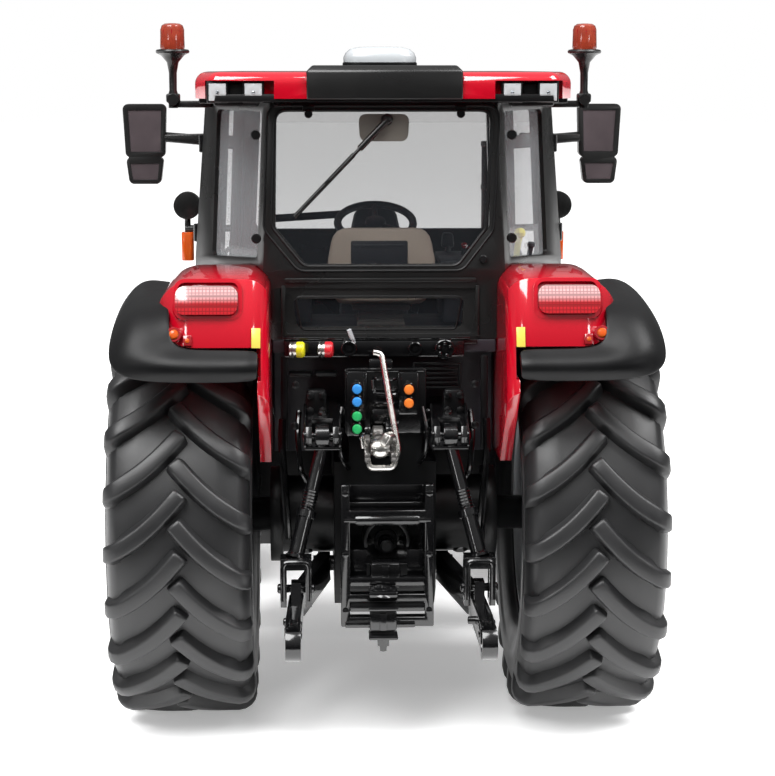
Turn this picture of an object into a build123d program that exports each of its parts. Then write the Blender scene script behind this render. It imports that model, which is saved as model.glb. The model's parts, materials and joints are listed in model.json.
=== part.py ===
"""A 1:32 scale model of a four-wheel-drive farm tractor with a cab, rear three-point linkage and steering front axle.

Row frame, millimetres: +X to the tractor's right, +Y forwards, +Z up. The origin is on the ground, midway between the
hooks of the lower links and the front towing jaw. Each function below makes one piece and returns its solids.
"""
from build123d import *
import math
import os

# ---------------------------------------------------------------- driving dimensions
OVERALL_LENGTH = 133.5
REAR_OVERHANG = 33.5
WHEELBASE = 75.5
REAR_TYRE_RADIUS = 25.5
REAR_TYRE_WIDTH = 18.0
REAR_HALF_TRACK = 25.4
REAR_RIM_RADIUS = 14.6
FRONT_TYRE_RADIUS = 18.5
FRONT_TYRE_WIDTH = 12.8
FRONT_HALF_TRACK = 26.8
FRONT_RIM_RADIUS = 10.2
REAR_LUGS = 21
FRONT_LUGS = 20
# degrees from the top to the middle of the first lug of the outer and of the inner row
REAR_PHASES = {"left": (12.6, 3.7), "right": (4.4, 13.2)}
FRONT_PHASES = (3.0, 12.0)
TREAD_SHARE = 0.95     # of the tyre's width
# across from the tread's middle, back from the lug's middle, half of its width along the tread, on a rear tyre
LUG_BENDS = [(-0.3, 3.4, 1.3), (4.0, -0.8, 1.2), (TREAD_SHARE * REAR_TYRE_WIDTH / 2, -3.2, 1.15)]

REAR_AXLE_Y = REAR_OVERHANG - OVERALL_LENGTH / 2
REAR_AXLE_Z = REAR_TYRE_RADIUS
FRONT_AXLE_Y = REAR_AXLE_Y + WHEELBASE
FRONT_AXLE_Z = FRONT_TYRE_RADIUS
FRONT_END_Y = OVERALL_LENGTH / 2
BONNET_NOSE_Y = FRONT_END_Y - 4.5
JAW_REACH = 2.5       # length of the towing jaw ahead of its bolster

FIT = 0.02           # gap between a seated piece and its seat
RUN_FIT = 0.05       # radial gap of a turning fit
SIDE_GAP = 0.3       # gap beside a turning piece

# ---------------------------------------------------------------- cab
WALL = 1.6
PANE = 0.7
CAB_REAR_Y = REAR_AXLE_Y - 8.0
CAB_DOOR_Y = REAR_AXLE_Y + 14.0
CAB_FRONT_Y = REAR_AXLE_Y + 43.5
CAB_FRONT_TOP_Y = REAR_AXLE_Y + 38.5
CAB_REAR_HALF = 15.2
CAB_DOOR_HALF = 24.8
CAB_FRONT_HALF = 20.6
CAB_LEAN = 4.2       # degrees the walls lean inwards above the kink
SILL_Z = 35.0
FLOOR_Z = 34.4
KINK_Z = 58.0
WAIST_Z = 57.8
CAB_TOP_Z = 79.5
GLASS_TOP_Z = CAB_TOP_Z - WALL
REAR_PANEL_Z = 49.5
DOOR_PILLAR = 1.5

# ---------------------------------------------------------------- roof
ROOF_BOTTOM_Z = CAB_TOP_Z + FIT
ROOF_TOP_Z = 82.8
ROOF_REAR_Y = REAR_AXLE_Y - 9.8
ROOF_FRONT_Y = REAR_AXLE_Y + 45.5
HATCH_HALF = 9.6
HATCH_TOP_Z = 83.6
HATCH_LENGTH = 34.0
DOME_HEIGHT = 2.4
DOME_Z = HATCH_TOP_Z + DOME_HEIGHT
DOME_HALF = 4.9
DOME_DEPTH = 6.4
LAMP = 2.4           # side of a square work lamp
LAMP_X = (16.0, 20.4)
BEACON_X = 27.4
BEACON_Y = REAR_AXLE_Y + 12.0
BEACON_ARM_Z = 78.5
BEACON_SEAT_Z = 85.7
BEACON_LENS = 3.4     # height of a beacon's lens

# ---------------------------------------------------------------- fenders
ARCH_RADIUS = REAR_TYRE_RADIUS + 2.9
FENDER_WALL_X = 14.2
FENDER_INNER_X = 15.6
FENDER_OUTER_X = 27.8
FENDER_TOP_Z = 58.8
FENDER_CROWN = 5.0
FENDER_INNER_ROUND = 2.8
LIP_Z = 50.5
LIP_FOOT_Z = 46.6
FLARE_OUTER_X = 33.4
FLARE_TOP_Z = 56.0
FLARE_ROUND = 4.4

# ---------------------------------------------------------------- running gear
HOUSING_HALF = 6.4
REAR_STUB_RADIUS = 2.2
REAR_STUB_X = 26.8
TRUMPET_RADIUS = 5.0
TRUMPET_X = 14.6
KINGPIN_X = 18.0
KINGPIN_RADIUS = 1.0
BOSS_RADIUS = 2.2
BOSS_HALF_HEIGHT = 2.4
YOKE_THICK = 1.1
FRONT_STUB_RADIUS = 1.6
FRONT_STUB_X = 28.4
STEER_ARM = 6.0
TIE_ROD_RADIUS = 0.5
TIE_EYE_HEIGHT = 1.2
TIE_PIN_RADIUS = 0.45
TIE_EYE_BORE = 1.15
TIE_EYE_RADIUS = 1.75

# ---------------------------------------------------------------- rear linkage
ROCKER_Y = REAR_AXLE_Y - 6.5
ROCKER_Z = 39.5
ROCKER_RADIUS = 1.5
YOKE_GAP = 1.3       # half the space between a lift arm's cheeks
YOKE_CHEEK = 0.75
LIFT_EYE_X = 7.9
LIFT_EYE_Y = REAR_AXLE_Y - 15.0
LIFT_EYE_Z = 38.4
ROD_RADIUS = 0.8
ROD_EYE_RADIUS = 1.4
LINK_PIVOT_X = 7.7
LINK_PIVOT_Y = REAR_AXLE_Y - 2.5
LINK_PIVOT_Z = 19.4
LINK_X = 11.2
LINK_HEIGHT = 3.0
LINK_FRONT_HEIGHT = 3.6
LINK_THICK = 1.6
LINK_KNEE_Y = REAR_AXLE_Y - 14.0
LINK_PIN_Y = REAR_AXLE_Y - 20.0
LINK_PIN_Z = 20.4
PIN_RADIUS = 0.5
HOOK_RADIUS = 2.1
HOOK_SEAT = 1.15
HOOK_Y = REAR_AXLE_Y - REAR_OVERHANG + HOOK_RADIUS
HOOK_Z = 16.6
HOOK_X = 11.5
CLEVIS_GAP = 1.15    # half the space between a clevis's ears
CLEVIS_EAR = 0.75
CLEVIS_TOP_Z = 24.4
CLEVIS_FOOT_Z = 18.4
TOP_LINK_Y = REAR_AXLE_Y - 13.6
TOP_LINK_Z = 38.2
TOP_LINK_X = -1.0
TOP_LINK_LENGTH = 9.0
DRAWBAR_X = -0.6


# ---------------------------------------------------------------- helpers
def block(x0, x1, y0, y1, z0, z1):
    """A box between two corners."""
    return Pos((x0 + x1) / 2, (y0 + y1) / 2, (z0 + z1) / 2) * Box(abs(x1 - x0), abs(y1 - y0), abs(z1 - z0))


def rod(start, end, radius):
    """A cylinder between two points."""
    a, b = Vector(*start), Vector(*end)
    return extrude(Plane(origin=a, z_dir=b - a) * Circle(radius), (b - a).length)


def bar(start, end, width, height):
    """A rectangular bar between two points, its height nearest to Z."""
    a, b = Vector(*start), Vector(*end)
    along = (b - a).normalized()
    side = along.cross(Vector(0, 0, 1)).normalized()
    return extrude(Plane(origin=a, x_dir=side, z_dir=along) * Rectangle(width, height), (b - a).length)


def outline_face(points, radius, inset):
    """A flat face from its corner points, made smaller by inset, with its corners rounded."""
    face = make_face(Polyline(*points, close=True))
    if inset:
        face = offset(face, -inset, kind=Kind.INTERSECTION)
    if radius:
        face = fillet(face.vertices(), radius)
    return face


def side_profile(points, x0, x1, radius=0, inset=0):
    """A plate whose outline is given as (y, z) points, from x0 to x1."""
    face = Plane.YZ * outline_face(points, radius, inset)
    return Pos(min(x0, x1), 0, 0) * extrude(face, abs(x1 - x0), dir=(1, 0, 0))


def back_profile(points, y0, y1, radius=0, inset=0):
    """A plate whose outline is given as (x, z) points, from y0 to y1."""
    face = Plane.XZ * outline_face(points, radius, inset)
    return Pos(0, y0, 0) * extrude(face, y1 - y0, dir=(0, 1, 0))


def plan_profile(points, z0, z1, radius=0, lean=0):
    """A prism whose outline is given as (x, y) points, from z0 to z1."""
    face = make_face(Polyline(*points, close=True))
    if radius:
        face = fillet(face.vertices(), radius)
    return Pos(0, 0, z0) * extrude(face, z1 - z0, taper=lean)


def x_cylinder(radius, x0, x1, y, z):
    return rod((x0, y, z), (x1, y, z), radius)


def both_sides(half):
    """(x, y) points of one side, from back to front, with their mirror images."""
    return half + [(-x, y) for x, y in reversed(half)]


def mirrored(shape):
    return mirror(shape, about=Plane.YZ)


def pair(shape):
    """A piece and its mirror image, as solids that don't touch."""
    return Compound(children=[*shape.solids(), *mirrored(shape).solids()])


def revolved_about_x(points, y, z, start=0, arc=360):
    """Turns a section of (x, radius) points about an axle; angles run from the rear horizontal over the top."""
    face = make_face(Plane.XZ * Polyline(*points, close=True))
    ring = revolve(face, Axis.X, arc)
    return Pos(0, y, z) * Rot(90 - start - arc, 0, 0) * ring


# ---------------------------------------------------------------- wheels
def carcass_slices(width, radius, rim_radius, sides):
    """The tyre without its lugs as flat-faced slices, one for each pitch: tread, walls and beads."""
    half, wall = width / 2, radius - rim_radius
    # columns: share of the half width, share of the wall's height below the lugs' tips
    section = [(0.72, 1.0), (0.985, 0.48), (TREAD_SHARE, 0.165)]
    right = [(half * share, radius - depth * wall + FIT) for share, depth in section]
    outline = right + [(-x, r) for x, r in reversed(right)]
    bar = extrude(Plane.XZ * make_face(Polyline(*outline, close=True)), 0.2 * radius, both=True)
    spread = 1.2 * radius * math.tan(math.pi / sides)
    wedge = make_face(Polyline((0, 0), (-spread, 1.2 * radius), (spread, 1.2 * radius), close=True))
    one = bar & extrude(Plane.YZ * wedge, width, both=True)
    return [Rot(360 / sides * k, 0, 0) * one for k in range(sides)]


def tread_lug(width, radius, bends):
    """One lug at the top of the right half of a tyre: a bar that trails from the tread's middle to its edge."""
    scale = width / REAR_TYRE_WIDTH
    edge = [(scale * x, scale * (y + w)) for x, y, w in bends]
    edge += [(scale * x, scale * (y - w)) for x, y, w in reversed(bends)]
    top = math.sqrt(radius ** 2 - max(y for x, y in edge) ** 2)
    foot = radius - 3.0 * scale
    return extrude(Plane.XY.offset(foot) * make_face(Polyline(*edge, close=True)), top - foot)


def tyre(half_track, width, radius, rim_radius, y, z, side, lugs, phases, bends):
    """A tyre with two rows of lugs, half a pitch apart; phases are the outer and the inner row's first lug."""
    one = tread_lug(width, radius, bends)
    right, left = phases if side > 0 else reversed(phases)
    rows = ((one, right), (mirrored(one), left))
    copies = [Rot(start + 360 / lugs * k, 0, 0) * lug for lug, start in rows for k in range(lugs)]
    slices = carcass_slices(width, radius, rim_radius, lugs)
    return Pos(side * half_track, y, z) * slices[0].fuse(*slices[1:], *copies)


def rim(half_track, width, rim_radius, stub_radius, y, z, side):
    """A dished steel rim: bead seats, well and a disc with a raised hub and a bore for the stub axle."""
    bead = 0.72 * width / 2 + 0.3
    disc_x = -0.5
    # columns: x outwards from the wheel's middle plane, radius
    barrel = [
        (-bead, rim_radius - 1.3), (-bead, rim_radius), (bead, rim_radius), (bead, rim_radius - 1.3),
        (disc_x + 1.6, rim_radius - 1.9), (disc_x + 1.2, 0.72 * rim_radius), (disc_x + 2.6, 0.45 * rim_radius),
        (disc_x + 2.6, stub_radius + RUN_FIT), (disc_x - 0.6, stub_radius + RUN_FIT),
        (disc_x - 0.6, 0.72 * rim_radius), (disc_x - 0.2, rim_radius - 1.9),
    ]
    turned = revolved_about_x([(side * x, r) for x, r in barrel], y, z)
    return Pos(side * half_track, 0, 0) * turned


def knuckle(side):
    """A steering knuckle: yoke round the axle's boss, kingpin, stub axle and a steering arm behind."""
    x = side * KINGPIN_X
    top = FRONT_AXLE_Z + BOSS_HALF_HEIGHT + SIDE_GAP
    foot = FRONT_AXLE_Z - BOSS_HALF_HEIGHT - SIDE_GAP
    back_x = x + side * (BOSS_RADIUS + SIDE_GAP + 0.2)
    plate_x = back_x + side * 1.4
    shape = rod((x, FRONT_AXLE_Y, foot - YOKE_THICK), (x, FRONT_AXLE_Y, top + YOKE_THICK), KINGPIN_RADIUS)
    for low in (foot - YOKE_THICK, top):
        shape += Pos(x, FRONT_AXLE_Y, low + YOKE_THICK / 2) * Cylinder(BOSS_RADIUS, YOKE_THICK)
        shape += block(x, plate_x, FRONT_AXLE_Y - BOSS_RADIUS, FRONT_AXLE_Y + BOSS_RADIUS, low, low + YOKE_THICK)
    shape += x_cylinder(BOSS_HALF_HEIGHT + SIDE_GAP + YOKE_THICK, back_x, plate_x, FRONT_AXLE_Y, FRONT_AXLE_Z)
    shape += x_cylinder(FRONT_STUB_RADIUS, plate_x, side * FRONT_STUB_X, FRONT_AXLE_Y, FRONT_AXLE_Z)
    arm_z = foot - YOKE_THICK / 2
    shape += block(x - 1.0, x + 1.0, FRONT_AXLE_Y - STEER_ARM, FRONT_AXLE_Y, foot - YOKE_THICK, foot)
    shape += Pos(x, FRONT_AXLE_Y - STEER_ARM, arm_z) * Cylinder(1.0, YOKE_THICK)
    shape += rod((x, FRONT_AXLE_Y - STEER_ARM, arm_z - 2.2), (x, FRONT_AXLE_Y - STEER_ARM, arm_z), TIE_PIN_RADIUS)
    return shape


def tie_rod():
    """The rod between the steering arms, with an eye round each arm's pin."""
    y = FRONT_AXLE_Y - STEER_ARM
    z = FRONT_AXLE_Z - BOSS_HALF_HEIGHT - SIDE_GAP - YOKE_THICK - 0.9
    reach = KINGPIN_X - TIE_EYE_RADIUS + 0.3
    shape = rod((-reach, y, z), (reach, y, z), TIE_ROD_RADIUS)
    for side in (-1, 1):
        shape += Pos(side * KINGPIN_X, y, z) * Cylinder(TIE_EYE_RADIUS, TIE_EYE_HEIGHT)
    for side in (-1, 1):
        shape -= Pos(side * KINGPIN_X, y, z) * Cylinder(TIE_EYE_BORE, 2 * TIE_EYE_HEIGHT)
    return shape


# ---------------------------------------------------------------- chassis
def front_axle():
    """The driven front axle: a beam with a differential housing, and a bored boss at each end."""
    shape = x_cylinder(1.9, -KINGPIN_X, KINGPIN_X, FRONT_AXLE_Y, FRONT_AXLE_Z)
    shape += Pos(-1.5, FRONT_AXLE_Y, FRONT_AXLE_Z) * Sphere(3.9)
    shape += block(-3.0, 3.0, FRONT_AXLE_Y - 3.2, FRONT_AXLE_Y + 3.2, FRONT_AXLE_Z, FRONT_AXLE_Z + 4.2)
    for side in (-1, 1):
        boss = Pos(side * KINGPIN_X, FRONT_AXLE_Y, FRONT_AXLE_Z)
        shape += boss * Cylinder(BOSS_RADIUS, 2 * BOSS_HALF_HEIGHT)
        shape -= boss * Cylinder(KINGPIN_RADIUS + RUN_FIT, 3 * BOSS_HALF_HEIGHT)
    return shape


def front_support():
    """The cast bolster over the front axle, running forwards to a towing jaw with its pin."""
    seat_z = FRONT_AXLE_Z + 4.2 + FIT
    jaw_y = FRONT_END_Y - JAW_REACH
    shape = side_profile(
        [(FRONT_AXLE_Y - 9, seat_z), (jaw_y - 7, seat_z), (jaw_y, seat_z + 4),
         (jaw_y, seat_z + 10), (FRONT_AXLE_Y - 9, seat_z + 12)], -5.2, 5.2)
    for low in (seat_z + 4.2, seat_z + 8.2):
        shape += block(-3.2, 3.2, jaw_y, FRONT_END_Y, low, low + 1.4)
    shape += rod((0, FRONT_END_Y - 1.5, seat_z + 3.4), (0, FRONT_END_Y - 1.5, seat_z + 10.6), 0.6)
    return shape


def engine_block():
    """The engine as one plain block with its sump."""
    back = REAR_AXLE_Y + 45.0
    front = FRONT_AXLE_Y - 9 - FIT
    shape = block(-6.0, 6.0, back, front, 24.0, 46.0)
    shape += block(-4.2, 4.2, back, front - 3, 19.6, 24.0)
    return shape


def rear_housing():
    """Gearbox, rear axle casing and its stub axles, the rocker's bearing block and the pins of the lower links."""
    shape = side_profile(
        [(REAR_AXLE_Y - 11, 18), (REAR_AXLE_Y - 8, 15.4), (REAR_AXLE_Y + 30, 16.0), (REAR_AXLE_Y + 45 - FIT, 17.0),
         (REAR_AXLE_Y + 45 - FIT, FLOOR_Z - FIT), (REAR_AXLE_Y - 11, FLOOR_Z - FIT)],
        -HOUSING_HALF, HOUSING_HALF)
    shape += block(-4.6, 4.6, REAR_AXLE_Y - 11, REAR_AXLE_Y - 3.5, FLOOR_Z - 1, 43.5)
    shape += rod((0, REAR_AXLE_Y + 44, 18.0), (0, FRONT_AXLE_Y - 3.95, FRONT_AXLE_Z), 1.2)
    for side in (-1, 1):
        shape += x_cylinder(TRUMPET_RADIUS, side * HOUSING_HALF, side * TRUMPET_X, REAR_AXLE_Y, REAR_AXLE_Z)
        shape += x_cylinder(TRUMPET_RADIUS + 1.2, side * (TRUMPET_X - 1.6), side * TRUMPET_X, REAR_AXLE_Y, REAR_AXLE_Z)
        shape += x_cylinder(REAR_STUB_RADIUS, side * TRUMPET_X, side * REAR_STUB_X, REAR_AXLE_Y, REAR_AXLE_Z)
        shape += x_cylinder(1.0, side * HOUSING_HALF, side * (LINK_PIVOT_X + 1.4), LINK_PIVOT_Y, LINK_PIVOT_Z)
    shape -= x_cylinder(ROCKER_RADIUS + RUN_FIT, -HOUSING_HALF, HOUSING_HALF, ROCKER_Y, ROCKER_Z)
    return shape


def side_tanks():
    """Fuel tank and battery box, one each side under the cab."""
    tank = side_profile(
        [(REAR_AXLE_Y + 28.5, 17), (REAR_AXLE_Y + 33, 13.8), (REAR_AXLE_Y + 46, 13.8), (REAR_AXLE_Y + 46, 31),
         (REAR_AXLE_Y + 28.5, 33.5)], HOUSING_HALF + FIT, 19.0, 1.5)
    return pair(tank)


def steps():
    """Three treads between two side plates, below each door."""
    half = 4.5
    middle = REAR_AXLE_Y + 38.0
    shape = None
    for end in (middle - half, middle + half - 0.8):
        plate = block(19.0 + FIT, 25.0, end, end + 0.8, 11.5, 33.8)
        shape = plate if shape is None else shape + plate
    # columns: height of a tread, how far out it reaches
    for tread_z, reach in ((11.5, 26.6), (19.0, 25.8), (26.5, 25.0)):
        shape += block(19.6, reach, middle - half, middle + half, tread_z, tread_z + 0.8)
    shape += block(19.0 + FIT, 19.8, middle - half, middle + half, 11.5, 33.8)
    return pair(shape)


# ---------------------------------------------------------------- bonnet
def bonnet_body(inset, foot_z):
    """The bonnet's block, inset all round."""
    back = CAB_FRONT_Y + FIT
    nose = BONNET_NOSE_Y - inset
    half = 10.6 - inset
    body = side_profile(
        [(back, foot_z), (nose - 1.0, foot_z), (nose, foot_z + 6), (nose - 2.2, 50.0 - inset),
         (nose - 9, 54.2 - inset), (nose - 24, 56.6 - inset), (back, 58.2 - inset)], -half, half)
    top_edges = body.edges().filter_by(lambda e: e.center().Z > 45 and abs(abs(e.center().X) - half) < 0.01
                                       and e.center().Y > back + 1)
    return fillet(top_edges, 2.6 - 0.5 * inset)


def bonnet():
    """The one-piece bonnet: a shell, open below, with windows for its grilles and headlamps."""
    shell = bonnet_body(0, 35.5) - bonnet_body(1.2, 30.0)
    for side in (-1, 1):
        shell -= grille_side(side, 0)
        shell -= headlamp(side, 0)
    shell -= grille_front(0)
    return shell


def grille_side(side, gap):
    outline = [(REAR_AXLE_Y + 58, 38.5), (REAR_AXLE_Y + 88, 38.5), (REAR_AXLE_Y + 86, 46.5), (REAR_AXLE_Y + 62, 49.5)]
    return side_profile(outline, side * (9.4 + 5 * gap), side * (10.8 - 20 * gap), inset=gap)


def grille_front(gap):
    nose = BONNET_NOSE_Y
    return back_profile([(-6.4, 37.6), (6.4, 37.6), (5.4, 45.4), (-5.4, 45.4)], nose - 2.6, nose + 1.0, inset=gap)


def headlamp(side, gap):
    nose = BONNET_NOSE_Y
    points = [(side * 3.6, 46.4), (side * 8.6, 46.9), (side * 8.9, 49.6), (side * 4.2, 49.0)]
    return back_profile(points, nose - 6.0, nose + 1.0, inset=gap)


def bonnet_grilles():
    """Dark grilles: one each side with upright slots, and one in the nose."""
    parts = []
    for side in (-1, 1):
        panel = grille_side(side, FIT)
        for n in range(8):
            slot_y = REAR_AXLE_Y + 63 + 3.0 * n
            x0, x1 = sorted((side * 10.0, side * 11.0))
            panel -= block(x0, x1, slot_y, slot_y + 1.3, 39.6, 45.6)
        parts += panel.solids()
    nose = BONNET_NOSE_Y
    front = grille_front(FIT) & block(-8, 8, nose - 2.6, nose - 0.9, 37, 46)
    for n in range(5):
        front -= block(-5.2, 5.2, nose - 1.5, nose, 38.6 + 1.35 * n, 39.3 + 1.35 * n)
    parts += front.solids()
    return Compound(children=parts)


def headlamps():
    """The two headlamps in the nose, flush with the bonnet."""
    lamps = []
    for side in (-1, 1):
        lamps += (headlamp(side, FIT) & bonnet_body(0.1, 35.5)).solids()
    return Compound(children=lamps)


def exhaust():
    """The upright silencer and tailpipe beside the right front pillar."""
    x, y = 18.6, REAR_AXLE_Y + 48.0
    shape = rod((x, y, 50), (x, y, 72), 2.0)
    shape += rod((x, y, 72), (x, y, 80.5), 1.1)
    shape += rod((10.6 + FIT, y, 48), (x, y, 48), 1.1) + Pos(x, y, 48) * Sphere(1.3)
    shape += rod((x, y, 48), (x, y, 50), 1.1)
    return shape


# ---------------------------------------------------------------- cab
def cab_plan(inset):
    """The cab's outline from above: a narrow back, angled quarters, and sides that close towards the bonnet."""
    return both_sides([
        (CAB_REAR_HALF - inset, CAB_REAR_Y + inset),
        (CAB_DOOR_HALF - inset, CAB_DOOR_Y + 0.3 * inset),
        (CAB_FRONT_HALF - inset, CAB_FRONT_Y + 2.0),
    ])


def cab_volume(inset, foot_drop):
    """The space within the cab's walls, from foot_drop below their lower edge."""
    top = CAB_TOP_Z - inset
    side = [
        (CAB_REAR_Y - 1, REAR_PANEL_Z - foot_drop), (CAB_REAR_Y - 1, top), (CAB_FRONT_TOP_Y - inset, top),
        (CAB_FRONT_Y - inset, WAIST_Z), (CAB_FRONT_Y - inset, SILL_Z - foot_drop),
        (REAR_AXLE_Y + 20, SILL_Z - foot_drop), (REAR_AXLE_Y + 20, REAR_PANEL_Z - foot_drop),
    ]
    prism = plan_profile(cab_plan(inset), 20, KINK_Z) + plan_profile(cab_plan(inset), KINK_Z, CAB_TOP_Z + 1, lean=CAB_LEAN)
    return prism & side_profile(side, -30, 30)


def rear_window_cut(inset):
    """The rear window from behind: upright sides with the lower corners cut off."""
    outline = [(9.2, 58.9), (13.2, 63.5), (13.4, GLASS_TOP_Z), (-13.4, GLASS_TOP_Z), (-13.6, 63.5), (-9.8, 58.9)]
    return back_profile(outline, CAB_REAR_Y - 1, CAB_REAR_Y + 4.5, 0.8, inset)


def lower_window_cut(inset):
    outline = [(-11.0, 51.0), (9.8, 51.0), (10.0, 54.6), (-11.5, 54.6)]
    return back_profile(outline, CAB_REAR_Y - 1, CAB_REAR_Y + 3, 0.5, inset)


def lower_window_frame():
    """The shallow recess round the lower window."""
    outline = [(-12.3, 50.2), (10.9, 50.2), (12.1, 56.0), (-13.2, 56.0)]
    return back_profile(outline, CAB_REAR_Y - 1, CAB_REAR_Y + 0.35, 0.5)


def quarter_plane():
    """A plane on the right quarter wall, its X along the wall from back to front, its normal outwards."""
    base = Vector(CAB_REAR_HALF, CAB_REAR_Y, 0)
    along = (Vector(CAB_DOOR_HALF, CAB_DOOR_Y, 0) - base)
    return Plane(origin=base, x_dir=along.normalized(), z_dir=along.cross(Vector(0, 0, 1)).normalized())


def wall_window(plane, points, inset):
    """A window's outline, in (along, height) points of a wall's plane, as a prism through the wall."""
    return extrude(plane * outline_face(points, 0.8, inset), 4.0, both=True)


def quarter_cut(inset):
    return wall_window(quarter_plane(), [(2.2, 59.6), (17.8, 58.7), (19.0, GLASS_TOP_Z), (3.4, GLASS_TOP_Z)], inset)


def door_plane():
    """A plane on the right side wall, its X along the wall from the door pillar to the front."""
    base = Vector(CAB_DOOR_HALF, CAB_DOOR_Y, 0)
    along = (Vector(CAB_FRONT_HALF, CAB_FRONT_Y + 2.0, 0) - base)
    return Plane(origin=base, x_dir=along.normalized(), z_dir=along.cross(Vector(0, 0, 1)).normalized())


def door_cut(inset):
    """The glazed door's outline: it narrows below the belt to clear the fender."""
    outline = [(DOOR_PILLAR, 58.2), (7.5, 55.6), (14.8, 46.6), (17.8, 37.6), (27.2, 37.6), (27.2, 57.5),
               (23.4, GLASS_TOP_Z), (DOOR_PILLAR + 0.5, GLASS_TOP_Z)]
    return wall_window(door_plane(), outline, inset)


def windscreen_cut(inset):
    outline = [(-17.4, 59.6), (17.4, 59.6), (16.4, GLASS_TOP_Z), (-16.4, GLASS_TOP_Z)]
    return back_profile(outline, CAB_FRONT_TOP_Y - 3, CAB_FRONT_Y + 2, 1.0, inset)


def cab_frame():
    """The cab's moulding: pillars, rails, sills and the lower back panel, with every window cut."""
    shape = cab_volume(0, 0) - cab_volume(WALL, 12)
    for cut in (fender_blank(FIT), quarter_cut(0), door_cut(0)):
        shape -= cut
        shape -= mirrored(cut)
    for cut in (rear_window_cut(0), lower_window_cut(0), lower_window_frame(), windscreen_cut(0)):
        shape -= cut
    return shape


def pane_layer(inset):
    """A thin layer inside the cab's walls that the flat panes are cut from."""
    return cab_volume(inset, 0) - cab_volume(inset + PANE, 12)


def rear_window():
    """The opening rear window and the fixed one below it, as flat panes."""
    layer = pane_layer(0.5) & block(-14, 14, CAB_REAR_Y - 1, CAB_REAR_Y + 4, 50, 80)
    upper, lower = layer & rear_window_cut(FIT), layer & lower_window_cut(FIT)
    return Compound(children=[*upper.solids(), *lower.solids()])


def quarter_panes():
    return pair(pane_layer(0.5) & quarter_cut(FIT))


def door_panes():
    return pair(pane_layer(0.5) & door_cut(FIT))


def windscreen():
    return pane_layer(0.5) & windscreen_cut(FIT)


def cab_floor():
    """The stepped floor: low in front of the seat, high over the axle, with a skirt down behind."""
    shelf = REAR_PANEL_Z - FIT
    step = REAR_AXLE_Y + 20
    front = CAB_FRONT_Y - WALL - FIT
    half = FENDER_WALL_X - 0.1
    shape = side_profile(
        [(CAB_REAR_Y, shelf - 1.7), (REAR_AXLE_Y - 3.4, shelf - 1.7), (REAR_AXLE_Y - 3.4, FLOOR_Z),
         (REAR_AXLE_Y - 2.0, FLOOR_Z), (REAR_AXLE_Y - 2.0, shelf - 1.7), (step - 1.2, shelf - 1.7), (step - 1.2, FLOOR_Z),
         (CAB_FRONT_Y, FLOOR_Z), (CAB_FRONT_Y, SILL_Z - FIT), (front, SILL_Z - FIT), (front, 36), (step, 36), (step, shelf),
         (CAB_REAR_Y, shelf)],
        -half, half)
    return shape + block(-20.4, 20.4, REAR_AXLE_Y + 31.2, CAB_FRONT_Y, FLOOR_Z, SILL_Z - FIT)


def seat():
    """The driver's seat: pedestal, cushion and a backrest with rounded shoulders."""
    base_z = REAR_PANEL_Z + FIT
    back = REAR_AXLE_Y + 4.0
    shape = block(-3.4, 3.4, back + 1, back + 10, base_z, base_z + 2.6)
    shape += side_profile([(back, base_z + 2.4), (back + 12, base_z + 2.4), (back + 12.6, base_z + 4.4),
                           (back + 2, base_z + 5.2)], -6.2, 6.2)
    rest = back_profile([(-6.6, base_z + 3.4), (6.6, base_z + 3.4), (6.9, 60.4), (5.2, 62.7), (-5.2, 62.7), (-6.9, 60.4)],
                        back - 1.6, back + 1.4, 0.6)
    return shape + rest


def dashboard():
    """Steering pedestal and instrument pod in front of the seat."""
    front = CAB_FRONT_Y - WALL - 0.1
    shape = side_profile([(front - 5.5, 36 + FIT), (front, 36 + FIT), (front, 57.5), (front - 6.5, 59.5), (front - 7.5, 57.2),
                          (front - 4.8, 54.0)], -5.0, 5.0)
    return shape


def steering_wheel():
    """The steering wheel on its sloping column."""
    hub = Vector(0, REAR_AXLE_Y + 29.6, 60.2)
    foot = Vector(0, CAB_FRONT_Y - WALL - 6.3, 56.0)
    axis = hub - foot
    plane = Plane(origin=hub, x_dir=(1, 0, 0), z_dir=axis.normalized())
    section = Plane.XZ * Pos(5.5, 0) * RegularPolygon(0.6, 6)
    shape = plane * revolve(section, Axis.Z, 360)
    shape += extrude(plane * Circle(1.3), 0.5, both=True)
    for turn in (90, 210, 330):
        spoke = Vector(math.cos(math.radians(turn)), math.sin(math.radians(turn)), 0)
        end = plane.from_local_coords(spoke * 5.5)
        shape += rod(tuple(hub), tuple(end), 0.4)
    shape += rod(tuple(foot), tuple(hub), 0.7)
    return shape - dashboard()


def roof():
    """The red roof cap, with a recess for the black hatch and two lamp pockets in its back edge."""
    plan = both_sides([(21.4, ROOF_REAR_Y), (23.5, ROOF_REAR_Y + 4.5), (24.2, CAB_DOOR_Y + 2), (21.2, ROOF_FRONT_Y)])
    shape = plan_profile(plan, ROOF_BOTTOM_Z, ROOF_TOP_Z, 1.8)
    shape = fillet(shape.faces().sort_by(Axis.Z)[-1].edges(), 1.5)
    shape -= block(-HATCH_HALF - FIT, HATCH_HALF + FIT, ROOF_REAR_Y - 1, ROOF_REAR_Y + HATCH_LENGTH + FIT,
                   ROOF_BOTTOM_Z + 0.8, ROOF_TOP_Z + 1)
    for side in (-1, 1):
        x0, x1 = sorted((side * (LAMP_X[0] - LAMP), side * (LAMP_X[1] + 1.7)))
        shape -= block(x0, x1, ROOF_REAR_Y - 1, ROOF_REAR_Y + 2.4, ROOF_BOTTOM_Z - 1, ROOF_BOTTOM_Z + 2.2)
    return shape


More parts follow.
